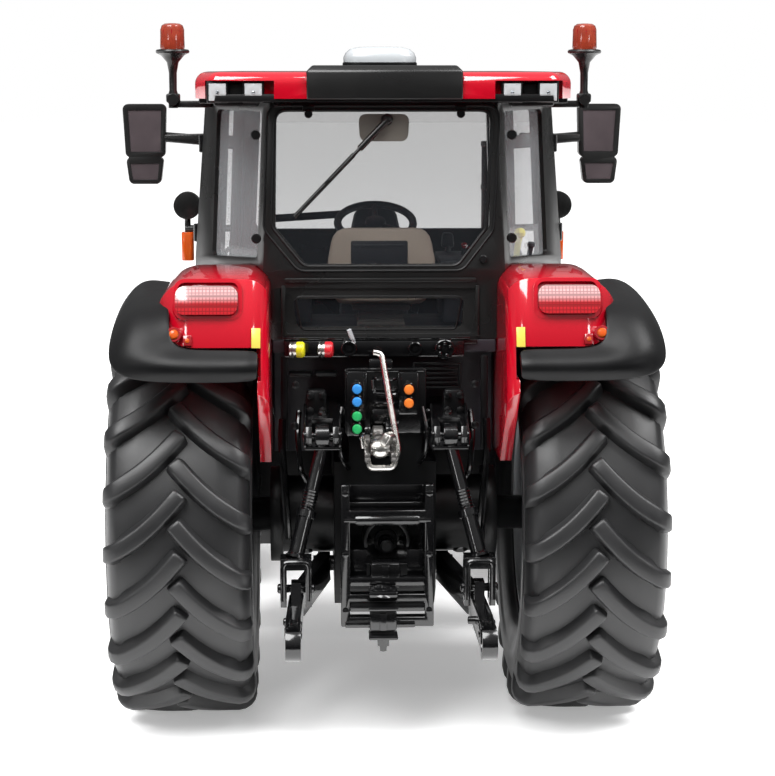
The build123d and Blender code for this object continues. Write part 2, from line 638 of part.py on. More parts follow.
def roof_hatch():
    """The raised black centre of the roof, with a step at each end of its back edge."""
    shape = block(-HATCH_HALF, HATCH_HALF, ROOF_REAR_Y - 0.5, ROOF_REAR_Y + HATCH_LENGTH,
                  ROOF_BOTTOM_Z + 0.8 + FIT, HATCH_TOP_Z)
    shape += block(-HATCH_HALF, HATCH_HALF, ROOF_REAR_Y - 0.5, ROOF_REAR_Y - FIT, ROOF_BOTTOM_Z - 0.1, HATCH_TOP_Z)
    edges = shape.edges().filter_by(lambda e: e.center().Z > HATCH_TOP_Z - 0.01)
    return chamfer(edges, 0.7)


def roof_dome():
    """The low white antenna dome on the roof's middle."""
    y = REAR_AXLE_Y + 10.0
    base = Pos(0, y, 0) * SlotOverall(2 * DOME_HALF, DOME_DEPTH)
    shape = Pos(0, 0, HATCH_TOP_Z + FIT) * extrude(base, DOME_Z - HATCH_TOP_Z - FIT, taper=12)
    return fillet(shape.faces().sort_by(Axis.Z)[-1].edges(), 1.0)


def work_lamps():
    """Four square lamps in the roof's back pockets and four under its front edge."""
    lamps = []
    low = ROOF_BOTTOM_Z - 0.4
    for side in (-1, 1):
        for x in LAMP_X:
            lamps.append(block(side * x - LAMP / 2, side * x + LAMP / 2, ROOF_REAR_Y + 0.2, ROOF_REAR_Y + 2.4 - FIT,
                               low, low + LAMP))
        for x in (12.6, 17.4):
            lamps.append(block(side * x - LAMP / 2, side * x + LAMP / 2, ROOF_FRONT_Y - 3.4, ROOF_FRONT_Y - 0.6,
                               ROOF_BOTTOM_Z - LAMP - FIT, ROOF_BOTTOM_Z - FIT))
    return Compound(children=[s for lamp in lamps for s in lamp.solids()])


def beacon_stalks():
    """An arm out from under each roof edge, a clamp, an upright stalk and a flared cup."""
    x, y = BEACON_X, BEACON_Y
    low, seat = BEACON_ARM_Z, BEACON_SEAT_Z
    shape = bar((21.6, y, low), (x, y, low), 1.1, 1.0) - cab_volume(-FIT, 0)
    shape += rod((x, y, low - 0.5), (x, y, seat - 1.3), 0.55) + Pos(x, y, low + 0.7) * Box(1.9, 1.9, 1.3)
    shape += Pos(x, y, seat - 1.1) * Cone(0.55, 1.5, 1.4, align=(Align.CENTER, Align.CENTER, Align.CENTER))
    shape += rod((x, y, seat - 0.5), (x, y, seat), 2.2)
    return pair(shape)


def beacon_lenses():
    x, y = BEACON_X, BEACON_Y
    lens = Pos(x, y, BEACON_SEAT_Z + FIT + BEACON_LENS / 2) * Cylinder(1.6, BEACON_LENS)
    return pair(fillet(lens.faces().sort_by(Axis.Z)[-1].edges(), 0.7))


# ---------------------------------------------------------------- mirrors and side lamps
MIRROR_X = 33.6
MIRROR_Y = REAR_AXLE_Y + 42.0


def mirror_housing_shapes():
    """The large and the small mirror housing of the right side."""
    upper = back_profile([(MIRROR_X - 3.0, 70.2), (MIRROR_X + 2.8, 70.2), (MIRROR_X + 3.2, 78.0), (MIRROR_X - 3.2, 78.0)],
                         MIRROR_Y, MIRROR_Y + 1.9, 0.8)
    lower = back_profile([(MIRROR_X - 2.3, 66.3), (MIRROR_X + 2.3, 66.3), (MIRROR_X + 2.8, 70.3), (MIRROR_X - 2.8, 70.3)],
                         MIRROR_Y, MIRROR_Y + 1.9, 0.8)
    return upper, lower


def mirrors():
    """Two mirror housings on one arm at each front pillar."""
    upper, lower = mirror_housing_shapes()
    shape = upper + lower + block(MIRROR_X - 2.4, MIRROR_X + 2.4, MIRROR_Y + 0.3, MIRROR_Y + 1.6, 69.5, 71.0)
    shape -= back_profile(mirror_face_points(True, 0), MIRROR_Y - 1, MIRROR_Y + 0.4)
    shape -= back_profile(mirror_face_points(False, 0), MIRROR_Y - 1, MIRROR_Y + 0.4)
    shape += bar((19.4, REAR_AXLE_Y + 39.6, 72.5), (MIRROR_X - 2.6, MIRROR_Y + 1.0, 73.3), 1.1, 1.2)
    shape += bar((19.4, REAR_AXLE_Y + 39.6, 72.4), (24.4, REAR_AXLE_Y + 40.8, 72.7), 1.3, 1.9)
    shape -= cab_volume(-FIT, 0)
    return pair(shape)


def mirror_face_points(upper, inset):
    if upper:
        return [(MIRROR_X - 2.3 + inset, 71.0 + inset), (MIRROR_X + 2.1 - inset, 71.0 + inset),
                (MIRROR_X + 2.4 - inset, 77.1 - inset), (MIRROR_X - 2.5 + inset, 77.1 - inset)]
    return [(MIRROR_X - 1.8 + inset, 66.9 + inset), (MIRROR_X + 1.8 - inset, 66.9 + inset),
            (MIRROR_X + 2.2 - inset, 69.3 - inset), (MIRROR_X - 2.1 + inset, 69.3 - inset)]


def mirror_faces():
    parts = []
    for upper in (True, False):
        parts += back_profile(mirror_face_points(upper, FIT), MIRROR_Y + 0.1, MIRROR_Y + 0.4 - FIT).solids()
    return pair(Compound(children=parts))


SIDE_LAMP_X = 27.4
SIDE_LAMP_Y = REAR_AXLE_Y + 41.0


def side_lamps():
    """A round lamp on a bracket beside each front pillar."""
    z = 63.2
    shape = rod((SIDE_LAMP_X, SIDE_LAMP_Y - 0.9, z), (SIDE_LAMP_X, SIDE_LAMP_Y + 1.1, z), 2.0)
    shape += rod((SIDE_LAMP_X, SIDE_LAMP_Y, z - 3.4), (SIDE_LAMP_X, SIDE_LAMP_Y, z), 0.45)
    shape += rod((CAB_FRONT_HALF - 0.3, SIDE_LAMP_Y, z - 3.4), (SIDE_LAMP_X + 0.4, SIDE_LAMP_Y, z - 3.4), 0.5)
    shape -= cab_volume(-FIT, 0)
    return pair(shape)


def side_indicators():
    """Orange indicators under the round lamps."""
    top = 63.2 - 3.4 - 0.5 - FIT
    shape = block(SIDE_LAMP_X - 0.9, SIDE_LAMP_X + 0.9, SIDE_LAMP_Y - 0.8, SIDE_LAMP_Y + 0.8, top - 4.2, top)
    return pair(fillet(shape.edges().filter_by(Axis.Z), 0.5))


# ---------------------------------------------------------------- fenders
def fender_outline():
    """The fender from the side: a steep lamp face behind, a nearly level top, and a slope down in front."""
    return [(REAR_AXLE_Y - 24.8, 45.4), (REAR_AXLE_Y - 20.7, FENDER_TOP_Z - 0.4), (REAR_AXLE_Y - 6, FENDER_TOP_Z),
            (REAR_AXLE_Y + 8.5, 57.3), (REAR_AXLE_Y + 21.5, 52.2), (REAR_AXLE_Y + 29.0, 43.0),
            (REAR_AXLE_Y + 31.0, SILL_Z), (REAR_AXLE_Y - 14, SILL_Z)]


def fender_blank(gap):
    """The right fender before its arch is cut, grown by gap, its long upper edges rounded."""
    shape = side_profile(fender_outline(), FENDER_WALL_X - gap, FENDER_OUTER_X, inset=-gap)

    def long_edges(of, keep):
        return of.edges().filter_by(lambda e: e.center().Z > 44.5 and e.center().Y < REAR_AXLE_Y + 28
                                    and abs((e @ 0).X - (e @ 1).X) < 0.01 and keep(e.center().X))

    shape = fillet(long_edges(shape, lambda x: x < FENDER_WALL_X + 0.1), FENDER_INNER_ROUND)
    outer = long_edges(shape, lambda x: x > FENDER_OUTER_X - 0.1)
    return fillet(outer, FENDER_CROWN)


def arch(x0, x1, radius):
    return x_cylinder(radius, x0, x1, REAR_AXLE_Y, REAR_AXLE_Z)


def corner_cut(x, z, radius):
    """What lies outside a rounded lower outer corner, seen from behind."""
    y0, y1 = REAR_AXLE_Y - 32, REAR_AXLE_Y - 12
    return block(x - radius, x + 8, y0, y1, z - 8, z + radius) - rod((x - radius, y0, z + radius),
                                                                     (x - radius, y1, z + radius), radius)


def flare_outline():
    """The flare from the side: steep behind like the lamp face above it, then close over the tyre."""
    return [(REAR_AXLE_Y - 25.2, LIP_FOOT_Z), (REAR_AXLE_Y - 24.0, LIP_Z), (REAR_AXLE_Y - 22.2, LIP_Z + 2.9),
            (REAR_AXLE_Y - 17.5, FLARE_TOP_Z - 0.7), (REAR_AXLE_Y - 7.0, FLARE_TOP_Z),
            (REAR_AXLE_Y + 4.0, FLARE_TOP_Z - 0.5), (REAR_AXLE_Y + 13.0, FLARE_TOP_Z - 3.4),
            (REAR_AXLE_Y + 12.0, LIP_FOOT_Z)]


def flare():
    """The right black fender extension: a band beside the fender and a lip below its lamp face, rounded outside."""
    shape = side_profile(flare_outline(), FENDER_OUTER_X - 1.0, FLARE_OUTER_X)
    outer = shape.edges().filter_by(lambda e: e.center().X > FLARE_OUTER_X - 0.1 and e.center().Z > LIP_FOOT_Z + 0.5
                                    and e.center().Y < REAR_AXLE_Y + 10)
    shape = fillet(outer, FLARE_ROUND)
    lip = side_profile([(REAR_AXLE_Y - 25.2, LIP_FOOT_Z), (REAR_AXLE_Y - 24.0, LIP_Z), (REAR_AXLE_Y - 13.0, LIP_Z),
                        (REAR_AXLE_Y - 18.0, LIP_FOOT_Z)], FENDER_INNER_X - 0.4, FENDER_OUTER_X)
    shape += lip + (fender_blank(0) & corner_cut(FENDER_OUTER_X, LIP_Z, 4.5))
    shape -= arch(0, 40, ARCH_RADIUS + 0.2)
    shape -= block(10, 40, REAR_AXLE_Y - 32, REAR_AXLE_Y - 12, 30, LIP_FOOT_Z)
    return shape - corner_cut(FLARE_OUTER_X, LIP_FOOT_Z, 5.6)


def flares():
    return pair(flare())


def fender():
    """The right red fender: a crowned cover over the tyre and the wall inside it, cut to fit the flare."""
    shape = fender_blank(0) - arch(FENDER_INNER_X, 40, ARCH_RADIUS)
    shape -= block(FENDER_INNER_X, 40, REAR_AXLE_Y - 30, REAR_AXLE_Y + 26, 20, 41)
    shape -= block(FENDER_INNER_X, 40, REAR_AXLE_Y - 30, REAR_AXLE_Y, 20, LIP_Z)
    shape -= corner_cut(FENDER_OUTER_X, LIP_Z, 4.5)
    return shape - flare()


def fenders():
    return pair(fender())


def tail_lamp(gap):
    """The right tail lamp: a rounded oblong that follows the fender's steep back face."""
    face = [(17.9, 54.4), (25.3, 54.4), (25.3, 57.7), (17.9, 57.7)]
    oblong = back_profile(face, REAR_AXLE_Y - 26, REAR_AXLE_Y - 18, 1.1, -gap)
    slope = side_profile([(REAR_AXLE_Y - 24.4, 50), (REAR_AXLE_Y - 20.7, 60), (REAR_AXLE_Y - 18.6, 60),
                          (REAR_AXLE_Y - 22.3, 50)], 10, 30, inset=-gap)
    return oblong & slope


def tail_lamps():
    return pair(tail_lamp(0) - fender_blank(FIT))


# ---------------------------------------------------------------- rear linkage
def lift_arms():
    """The rocker shaft through the housing, with an arm at each end whose yoke holds a lift rod's eye on a pin."""
    shape = x_cylinder(ROCKER_RADIUS, -LIFT_EYE_X, LIFT_EYE_X, ROCKER_Y, ROCKER_Z)
    wide = YOKE_GAP + YOKE_CHEEK
    for side in (-1, 1):
        middle = side * LIFT_EYE_X
        arm = side_profile(
            [(ROCKER_Y + 2.0, ROCKER_Z - 2.0), (LIFT_EYE_Y - 0.9, LIFT_EYE_Z - 1.2), (LIFT_EYE_Y - 1.5, LIFT_EYE_Z),
             (LIFT_EYE_Y - 0.9, LIFT_EYE_Z + 1.3), (ROCKER_Y + 2.0, ROCKER_Z + 2.2)], middle - wide, middle + wide)
        arm -= block(middle - YOKE_GAP, middle + YOKE_GAP, LIFT_EYE_Y - 4, LIFT_EYE_Y + 2.1, 30, 50)
        shape += arm + x_cylinder(PIN_RADIUS, middle - wide, middle + wide, LIFT_EYE_Y, LIFT_EYE_Z)
    return shape


def lift_rod(side):
    """A lift rod: an eye on the lift arm's pin, a screwed rod and a slotted fork that straddles the lower link."""
    x = side * LIFT_EYE_X
    foot_x = side * LINK_X
    shape = x_cylinder(ROD_EYE_RADIUS, x - 0.8, x + 0.8, LIFT_EYE_Y, LIFT_EYE_Z)
    eye_foot = (x, LIFT_EYE_Y - 0.3, LIFT_EYE_Z - ROD_EYE_RADIUS + 0.3)
    shape += rod(eye_foot, (foot_x, LINK_PIN_Y + 0.2, CLEVIS_TOP_Z), ROD_RADIUS)
    wide = CLEVIS_GAP + CLEVIS_EAR
    y0, y1 = LINK_PIN_Y - 1.5, LINK_PIN_Y + 1.5
    shape += block(foot_x - wide, foot_x + wide, y0, y1, CLEVIS_TOP_Z - 1.4, CLEVIS_TOP_Z)
    for ear in (-1, 1):
        x0, x1 = sorted((foot_x + ear * CLEVIS_GAP, foot_x + ear * wide))
        plate = block(x0, x1, y0, y1, CLEVIS_FOOT_Z, CLEVIS_TOP_Z)
        plate -= block(x0 - 1, x1 + 1, LINK_PIN_Y - 0.85, LINK_PIN_Y + 0.85, CLEVIS_FOOT_Z + 0.8, CLEVIS_TOP_Z - 1.6)
        shape += plate
    shape -= x_cylinder(PIN_RADIUS + RUN_FIT, x - 2, x + 2, LIFT_EYE_Y, LIFT_EYE_Z)
    return shape


def lower_link(side):
    """A lower link: eye, deep angled front bar, rear bar with the lift pin above it, and an open hook."""
    knee = (side * (LINK_X - 0.1), LINK_KNEE_Y, 17.2)
    start = (side * LINK_PIVOT_X, LINK_PIVOT_Y - 1.2, LINK_PIVOT_Z - 0.2)
    hook_x = side * HOOK_X
    pin_x = side * LINK_X
    shape = x_cylinder(LINK_HEIGHT / 2, side * LINK_PIVOT_X - 0.8, side * LINK_PIVOT_X + 0.8, LINK_PIVOT_Y,
                       LINK_PIVOT_Z)
    shape += bar(start, (knee[0], knee[1] - 0.4, knee[2]), LINK_THICK, LINK_FRONT_HEIGHT)
    shape += bar((knee[0], knee[1] + 0.4, knee[2]), (hook_x, HOOK_Y + HOOK_RADIUS - 0.6, HOOK_Z), LINK_THICK, LINK_HEIGHT)
    shape += block(pin_x - 0.6, pin_x + 0.6, LINK_PIN_Y - 1.0, LINK_PIN_Y + 1.0, HOOK_Z, LINK_PIN_Z + 0.9)
    shape += x_cylinder(PIN_RADIUS, pin_x - CLEVIS_GAP - CLEVIS_EAR, pin_x + CLEVIS_GAP + CLEVIS_EAR, LINK_PIN_Y,
                        LINK_PIN_Z)
    shape += x_cylinder(HOOK_RADIUS, hook_x - 0.9, hook_x + 0.9, HOOK_Y, HOOK_Z)
    shape -= x_cylinder(HOOK_SEAT, hook_x - 2, hook_x + 2, HOOK_Y, HOOK_Z)
    shape -= block(hook_x - 2, hook_x + 2, HOOK_Y - HOOK_SEAT, HOOK_Y + HOOK_SEAT, HOOK_Z, HOOK_Z + 3)
    shape -= x_cylinder(1.0 + RUN_FIT, side * LINK_PIVOT_X - 2, side * LINK_PIVOT_X + 2, LINK_PIVOT_Y, LINK_PIVOT_Z)
    return shape


def top_link():
    """The top link: eye on its pin, tube, claw behind and a bent wire pull that stands up from the claw."""
    end_y = TOP_LINK_Y - TOP_LINK_LENGTH
    x, z = TOP_LINK_X, TOP_LINK_Z
    shape = x_cylinder(1.3, x - 0.7, x + 0.7, TOP_LINK_Y, z)
    shape += rod((x, TOP_LINK_Y - 1.0, z), (x, end_y + 1.5, z), 0.9)
    shape += x_cylinder(1.7, x - 1.9, x + 1.9, end_y, z)
    shape -= x_cylinder(0.95, x - 3, x + 3, end_y, z)
    shape -= x_cylinder(PIN_RADIUS + RUN_FIT, x - 2, x + 2, TOP_LINK_Y, z)
    # columns: x beside the link, distance behind the pin, height above the pin
    wire = [(-1.6, 9.3, -1.2), (-1.3, 9.6, -2.4), (1.5, 9.6, -2.3), (2.1, 9.3, 0.3), (0.3, 5.0, 11.0), (-0.7, 5.0, 11.2)]
    route = [Vector(x + across, TOP_LINK_Y - back, z + up) for across, back, up in wire]
    path = FilletPolyline(*route, radius=0.5)
    return shape + sweep(Plane(origin=path @ 0, z_dir=path % 0) * RegularPolygon(0.4, 8), path)


def hitch_frame():
    """The pick-up frame below the housing: two slotted uprights, cross plates and the bracket of the top link."""
    y0 = REAR_AXLE_Y - 19.0
    y1 = y0 + 1.8
    shape = None
    for side in (-1, 1):
        x0, x1 = sorted((side * 4.6, side * 5.7))
        upright = block(x0, x1, y0, y1, 15.2, 33.0)
        upright += block(x0, x1, y1, REAR_AXLE_Y - 11 - FIT, 19.0, 31.0)
        shape = upright if shape is None else shape + upright
    # columns: bottom height, thickness, half width
    for low, thick, half in ((15.2, 1.2, 4.6), (18.4, 0.9, 4.6), (28.6, 1.2, 4.6)):
        shape += block(-half, half, y0, y1, low, low + thick)
    shape += block(-4.6, 4.6, REAR_AXLE_Y - 12.4, REAR_AXLE_Y - 11 - FIT, 21.5, 30.0)
    return shape


def drawbar():
    """The towing head between the uprights: body, jaw with its pin, and a back plate on the cross plates."""
    y0 = REAR_AXLE_Y - 22.4
    x0, x1 = DRAWBAR_X - 1.8, DRAWBAR_X + 1.8
    shape = block(x0, x1, y0, REAR_AXLE_Y - 19.15, 18.0, 20.6)
    shape += block(x0, x1, y0, REAR_AXLE_Y - 19.15, 14.0, 15.4)
    shape += block(x0, x1, REAR_AXLE_Y - 20.2, REAR_AXLE_Y - 19.05, 14.0, 20.6)
    return shape + rod((DRAWBAR_X, y0 + 1.2, 13.0), (DRAWBAR_X, y0 + 1.2, 21.6), 0.7)


def pto():
    """The power take-off: splined stub and its half-round guard."""
    y0 = REAR_AXLE_Y - 11 - FIT
    ring = rod((0, y0 - 1.4, 25.4), (0, y0 - 5.4, 25.4), 3.0) - rod((0, y0, 25.4), (0, y0 - 7, 25.4), 2.3)
    guard = ring - block(-5, 5, y0 - 8, y0, 18, 24.4)
    stub = rod((0, y0 - 1.4, 24.6), (0, y0 - 5.0, 24.6), 0.9)
    plate = rod((0, y0 - 1.4, 25.4), (0, y0 - 2.0, 25.4), 2.6)
    return guard + stub + plate


def couplers():
    """The bank of hydraulic couplers over the hitch, with the bracket and pin of the top link."""
    back = REAR_AXLE_Y - 11 - FIT
    shape = block(-5.2, 5.2, back - 1.6, back, 38.0, 46.4)
    # columns: x, height
    for x, z in ((-3.6, 44.2), (-3.6, 42.6), (-3.6, 40.8), (-3.6, 39.2), (2.8, 44.1), (2.8, 42.4)):
        shape += rod((x, back - 1.6, z), (x, back - 4.0, z), 0.62)
    for side in (-1, 1):
        x0, x1 = sorted((TOP_LINK_X + side * 0.95, TOP_LINK_X + side * 1.7))
        shape += side_profile([(back, 34.5), (back, 40.0), (TOP_LINK_Y - 1.2, TOP_LINK_Z + 1.2),
                               (TOP_LINK_Y - 1.2, TOP_LINK_Z - 1.2)], x0, x1)
    shape -= x_cylinder(1.6, TOP_LINK_X - 0.95, TOP_LINK_X + 0.95, TOP_LINK_Y, TOP_LINK_Z)
    shape += x_cylinder(PIN_RADIUS, TOP_LINK_X - 1.7, TOP_LINK_X + 1.7, TOP_LINK_Y, TOP_LINK_Z)
    return shape


def air_couplings():
    """Trailer sockets and two air couplings in a row under the back panel."""
    z = REAR_PANEL_Z - 1.1
    back = CAB_REAR_Y - FIT
    shape = block(-12.2, 9.6, back - 1.2, back, z - 1.1, z + 1.1)
    # columns: x, radius
    for x, r in ((-11.0, 0.9), (-7.4, 0.9), (-4.5, 0.8), (3.8, 0.9), (7.5, 1.25)):
        shape += rod((x, back - 1.2, z), (x, back - 2.8, z), r)
    return shape


# ---------------------------------------------------------------- export
SIDES = (("left", -1), ("right", 1))

PIECES = {
    "rear_housing": rear_housing, "engine_block": engine_block, "front_support": front_support,
    "front_axle": front_axle, "side_tanks": side_tanks, "steps": steps,
    "bonnet": bonnet, "bonnet_grilles": bonnet_grilles, "headlamps": headlamps, "exhaust": exhaust,
    "cab_frame": cab_frame, "cab_floor": cab_floor, "rear_window": rear_window, "quarter_windows": quarter_panes,
    "door_windows": door_panes, "windscreen": windscreen, "seat": seat, "dashboard": dashboard,
    "steering_wheel": steering_wheel, "roof": roof, "roof_hatch": roof_hatch, "roof_dome": roof_dome,
    "work_lamps": work_lamps, "beacon_stalks": beacon_stalks, "beacon_lenses": beacon_lenses,
    "mirrors": mirrors, "mirror_faces": mirror_faces, "side_lamps": side_lamps, "side_indicators": side_indicators,
    "fenders": fenders, "flares": flares, "tail_lamps": tail_lamps, "hitch_frame": hitch_frame,
    "drawbar": drawbar, "pto": pto, "couplers": couplers, "air_couplings": air_couplings,
    "lift_arms": lift_arms, "top_link": top_link, "tie_rod": tie_rod,
}


def export(name, shape):
    export_step(shape, f"parts/{name}.step")


def main():
    os.makedirs("parts", exist_ok=True)
    for name, make in PIECES.items():
        export(name, make())
    for word, side in SIDES:
        export(f"rear_tyre_{word}", tyre(REAR_HALF_TRACK, REAR_TYRE_WIDTH, REAR_TYRE_RADIUS, REAR_RIM_RADIUS,
                                         REAR_AXLE_Y, REAR_AXLE_Z, side, REAR_LUGS, REAR_PHASES[word], LUG_BENDS))
        export(f"front_tyre_{word}", tyre(FRONT_HALF_TRACK, FRONT_TYRE_WIDTH, FRONT_TYRE_RADIUS, FRONT_RIM_RADIUS,
                                          FRONT_AXLE_Y, FRONT_AXLE_Z, side, FRONT_LUGS, FRONT_PHASES,
                                          [LUG_BENDS[0], LUG_BENDS[-1]]))
        export(f"rear_rim_{word}", rim(REAR_HALF_TRACK, REAR_TYRE_WIDTH, REAR_RIM_RADIUS, REAR_STUB_RADIUS,
                                       REAR_AXLE_Y, REAR_AXLE_Z, side))
        export(f"front_rim_{word}", rim(FRONT_HALF_TRACK, FRONT_TYRE_WIDTH, FRONT_RIM_RADIUS, FRONT_STUB_RADIUS,
                                        FRONT_AXLE_Y, FRONT_AXLE_Z, side))
        export(f"knuckle_{word}", knuckle(side))
        export(f"lift_rod_{word}", lift_rod(side))
        export(f"lower_link_{word}", lower_link(side))


main()
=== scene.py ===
import json
import math
import bpy
import bmesh
from mathutils import Vector, Matrix


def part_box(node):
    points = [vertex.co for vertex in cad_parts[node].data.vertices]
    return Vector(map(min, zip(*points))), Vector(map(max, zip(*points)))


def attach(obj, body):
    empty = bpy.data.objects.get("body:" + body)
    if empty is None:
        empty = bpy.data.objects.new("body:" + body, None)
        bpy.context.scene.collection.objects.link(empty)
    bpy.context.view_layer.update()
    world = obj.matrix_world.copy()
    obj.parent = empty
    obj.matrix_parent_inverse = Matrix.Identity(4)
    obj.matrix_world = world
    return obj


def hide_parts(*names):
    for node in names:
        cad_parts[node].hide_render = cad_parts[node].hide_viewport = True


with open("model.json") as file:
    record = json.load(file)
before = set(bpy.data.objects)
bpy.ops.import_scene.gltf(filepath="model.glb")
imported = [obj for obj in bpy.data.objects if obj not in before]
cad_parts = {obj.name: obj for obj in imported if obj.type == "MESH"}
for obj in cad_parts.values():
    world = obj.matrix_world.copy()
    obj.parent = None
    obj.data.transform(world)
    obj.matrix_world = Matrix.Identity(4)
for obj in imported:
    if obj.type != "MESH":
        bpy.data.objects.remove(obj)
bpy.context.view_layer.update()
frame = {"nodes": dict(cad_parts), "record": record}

nodes = frame["nodes"]
bodyOfNode = {node: body for body, held in frame["record"]["behaviour"]["bodies"].items() for node in held}
mm = 0.001
rearAxle = Vector((0, -33.25, 25.5))
frontAxle = Vector((0, 42.25, 18.5))
print("frame loaded")


# small helpers: places and sizes are in millimetres, measured from the part's origin
def toLinear(hexText, alpha=1.0):
    # sRGB hex to the linear values that the shader wants
    parts = [int(hexText[i:i + 2], 16) / 255 for i in (0, 2, 4)]
    return tuple(c / 12.92 if c <= 0.04045 else ((c + 0.055) / 1.055) ** 2.4 for c in parts) + (alpha,)


def addNode(tree, kind, settings=None, links=None):
    # settings are input sockets or properties by name, links are input socket -> output socket
    node = tree.nodes.new(kind)
    for key, value in (settings or {}).items():
        if key in node.inputs:
            node.inputs[key].default_value = value
        else:
            setattr(node, key, value)
    for key, socket in (links or {}).items():
        tree.links.new(socket, node.inputs[key])
    return node


def newFinish(name, look):
    # base and second colour are mixed by a slow noise, grain is a fine bump; every length is in millimetres
    finish = bpy.data.materials.new(name)
    finish.use_nodes = True
    tree = finish.node_tree
    shader = tree.nodes["Principled BSDF"]
    place = addNode(tree, "ShaderNodeTexCoord").outputs["Object"]
    patch = addNode(tree, "ShaderNodeTexNoise", {"Scale": 1 / (look.get("patch", 9) * mm), "Detail": 3.0},
                    {"Vector": place})
    tint = addNode(tree, "ShaderNodeMix", {"data_type": "RGBA"})
    tint.inputs[6].default_value = toLinear(look["base"])
    tint.inputs[7].default_value = toLinear(look.get("second", look["base"]))
    tree.links.new(patch.outputs["Fac"], tint.inputs[0])
    tree.links.new(tint.outputs[2], shader.inputs["Base Color"])
    low, high = look["rough"]
    gloss = addNode(tree, "ShaderNodeMapRange",
                    {"From Min": 0.3, "From Max": 0.7, "To Min": low, "To Max": high},
                    {"Value": patch.outputs["Fac"]})
    tree.links.new(gloss.outputs["Result"], shader.inputs["Roughness"])
    if look.get("bump"):
        grain = addNode(tree, "ShaderNodeTexNoise", {"Scale": 1 / (look["grain"] * mm), "Detail": 4.0},
                        {"Vector": place})
        relief = addNode(tree, "ShaderNodeBump",
                         {"Strength": look.get("strength", 0.5), "Distance": look["bump"] * mm},
                         {"Height": grain.outputs["Fac"]})
        tree.links.new(relief.outputs["Normal"], shader.inputs["Normal"])
    for socket, value in look.get("sockets", {}).items():
        shader.inputs[socket].default_value = value
    return finish


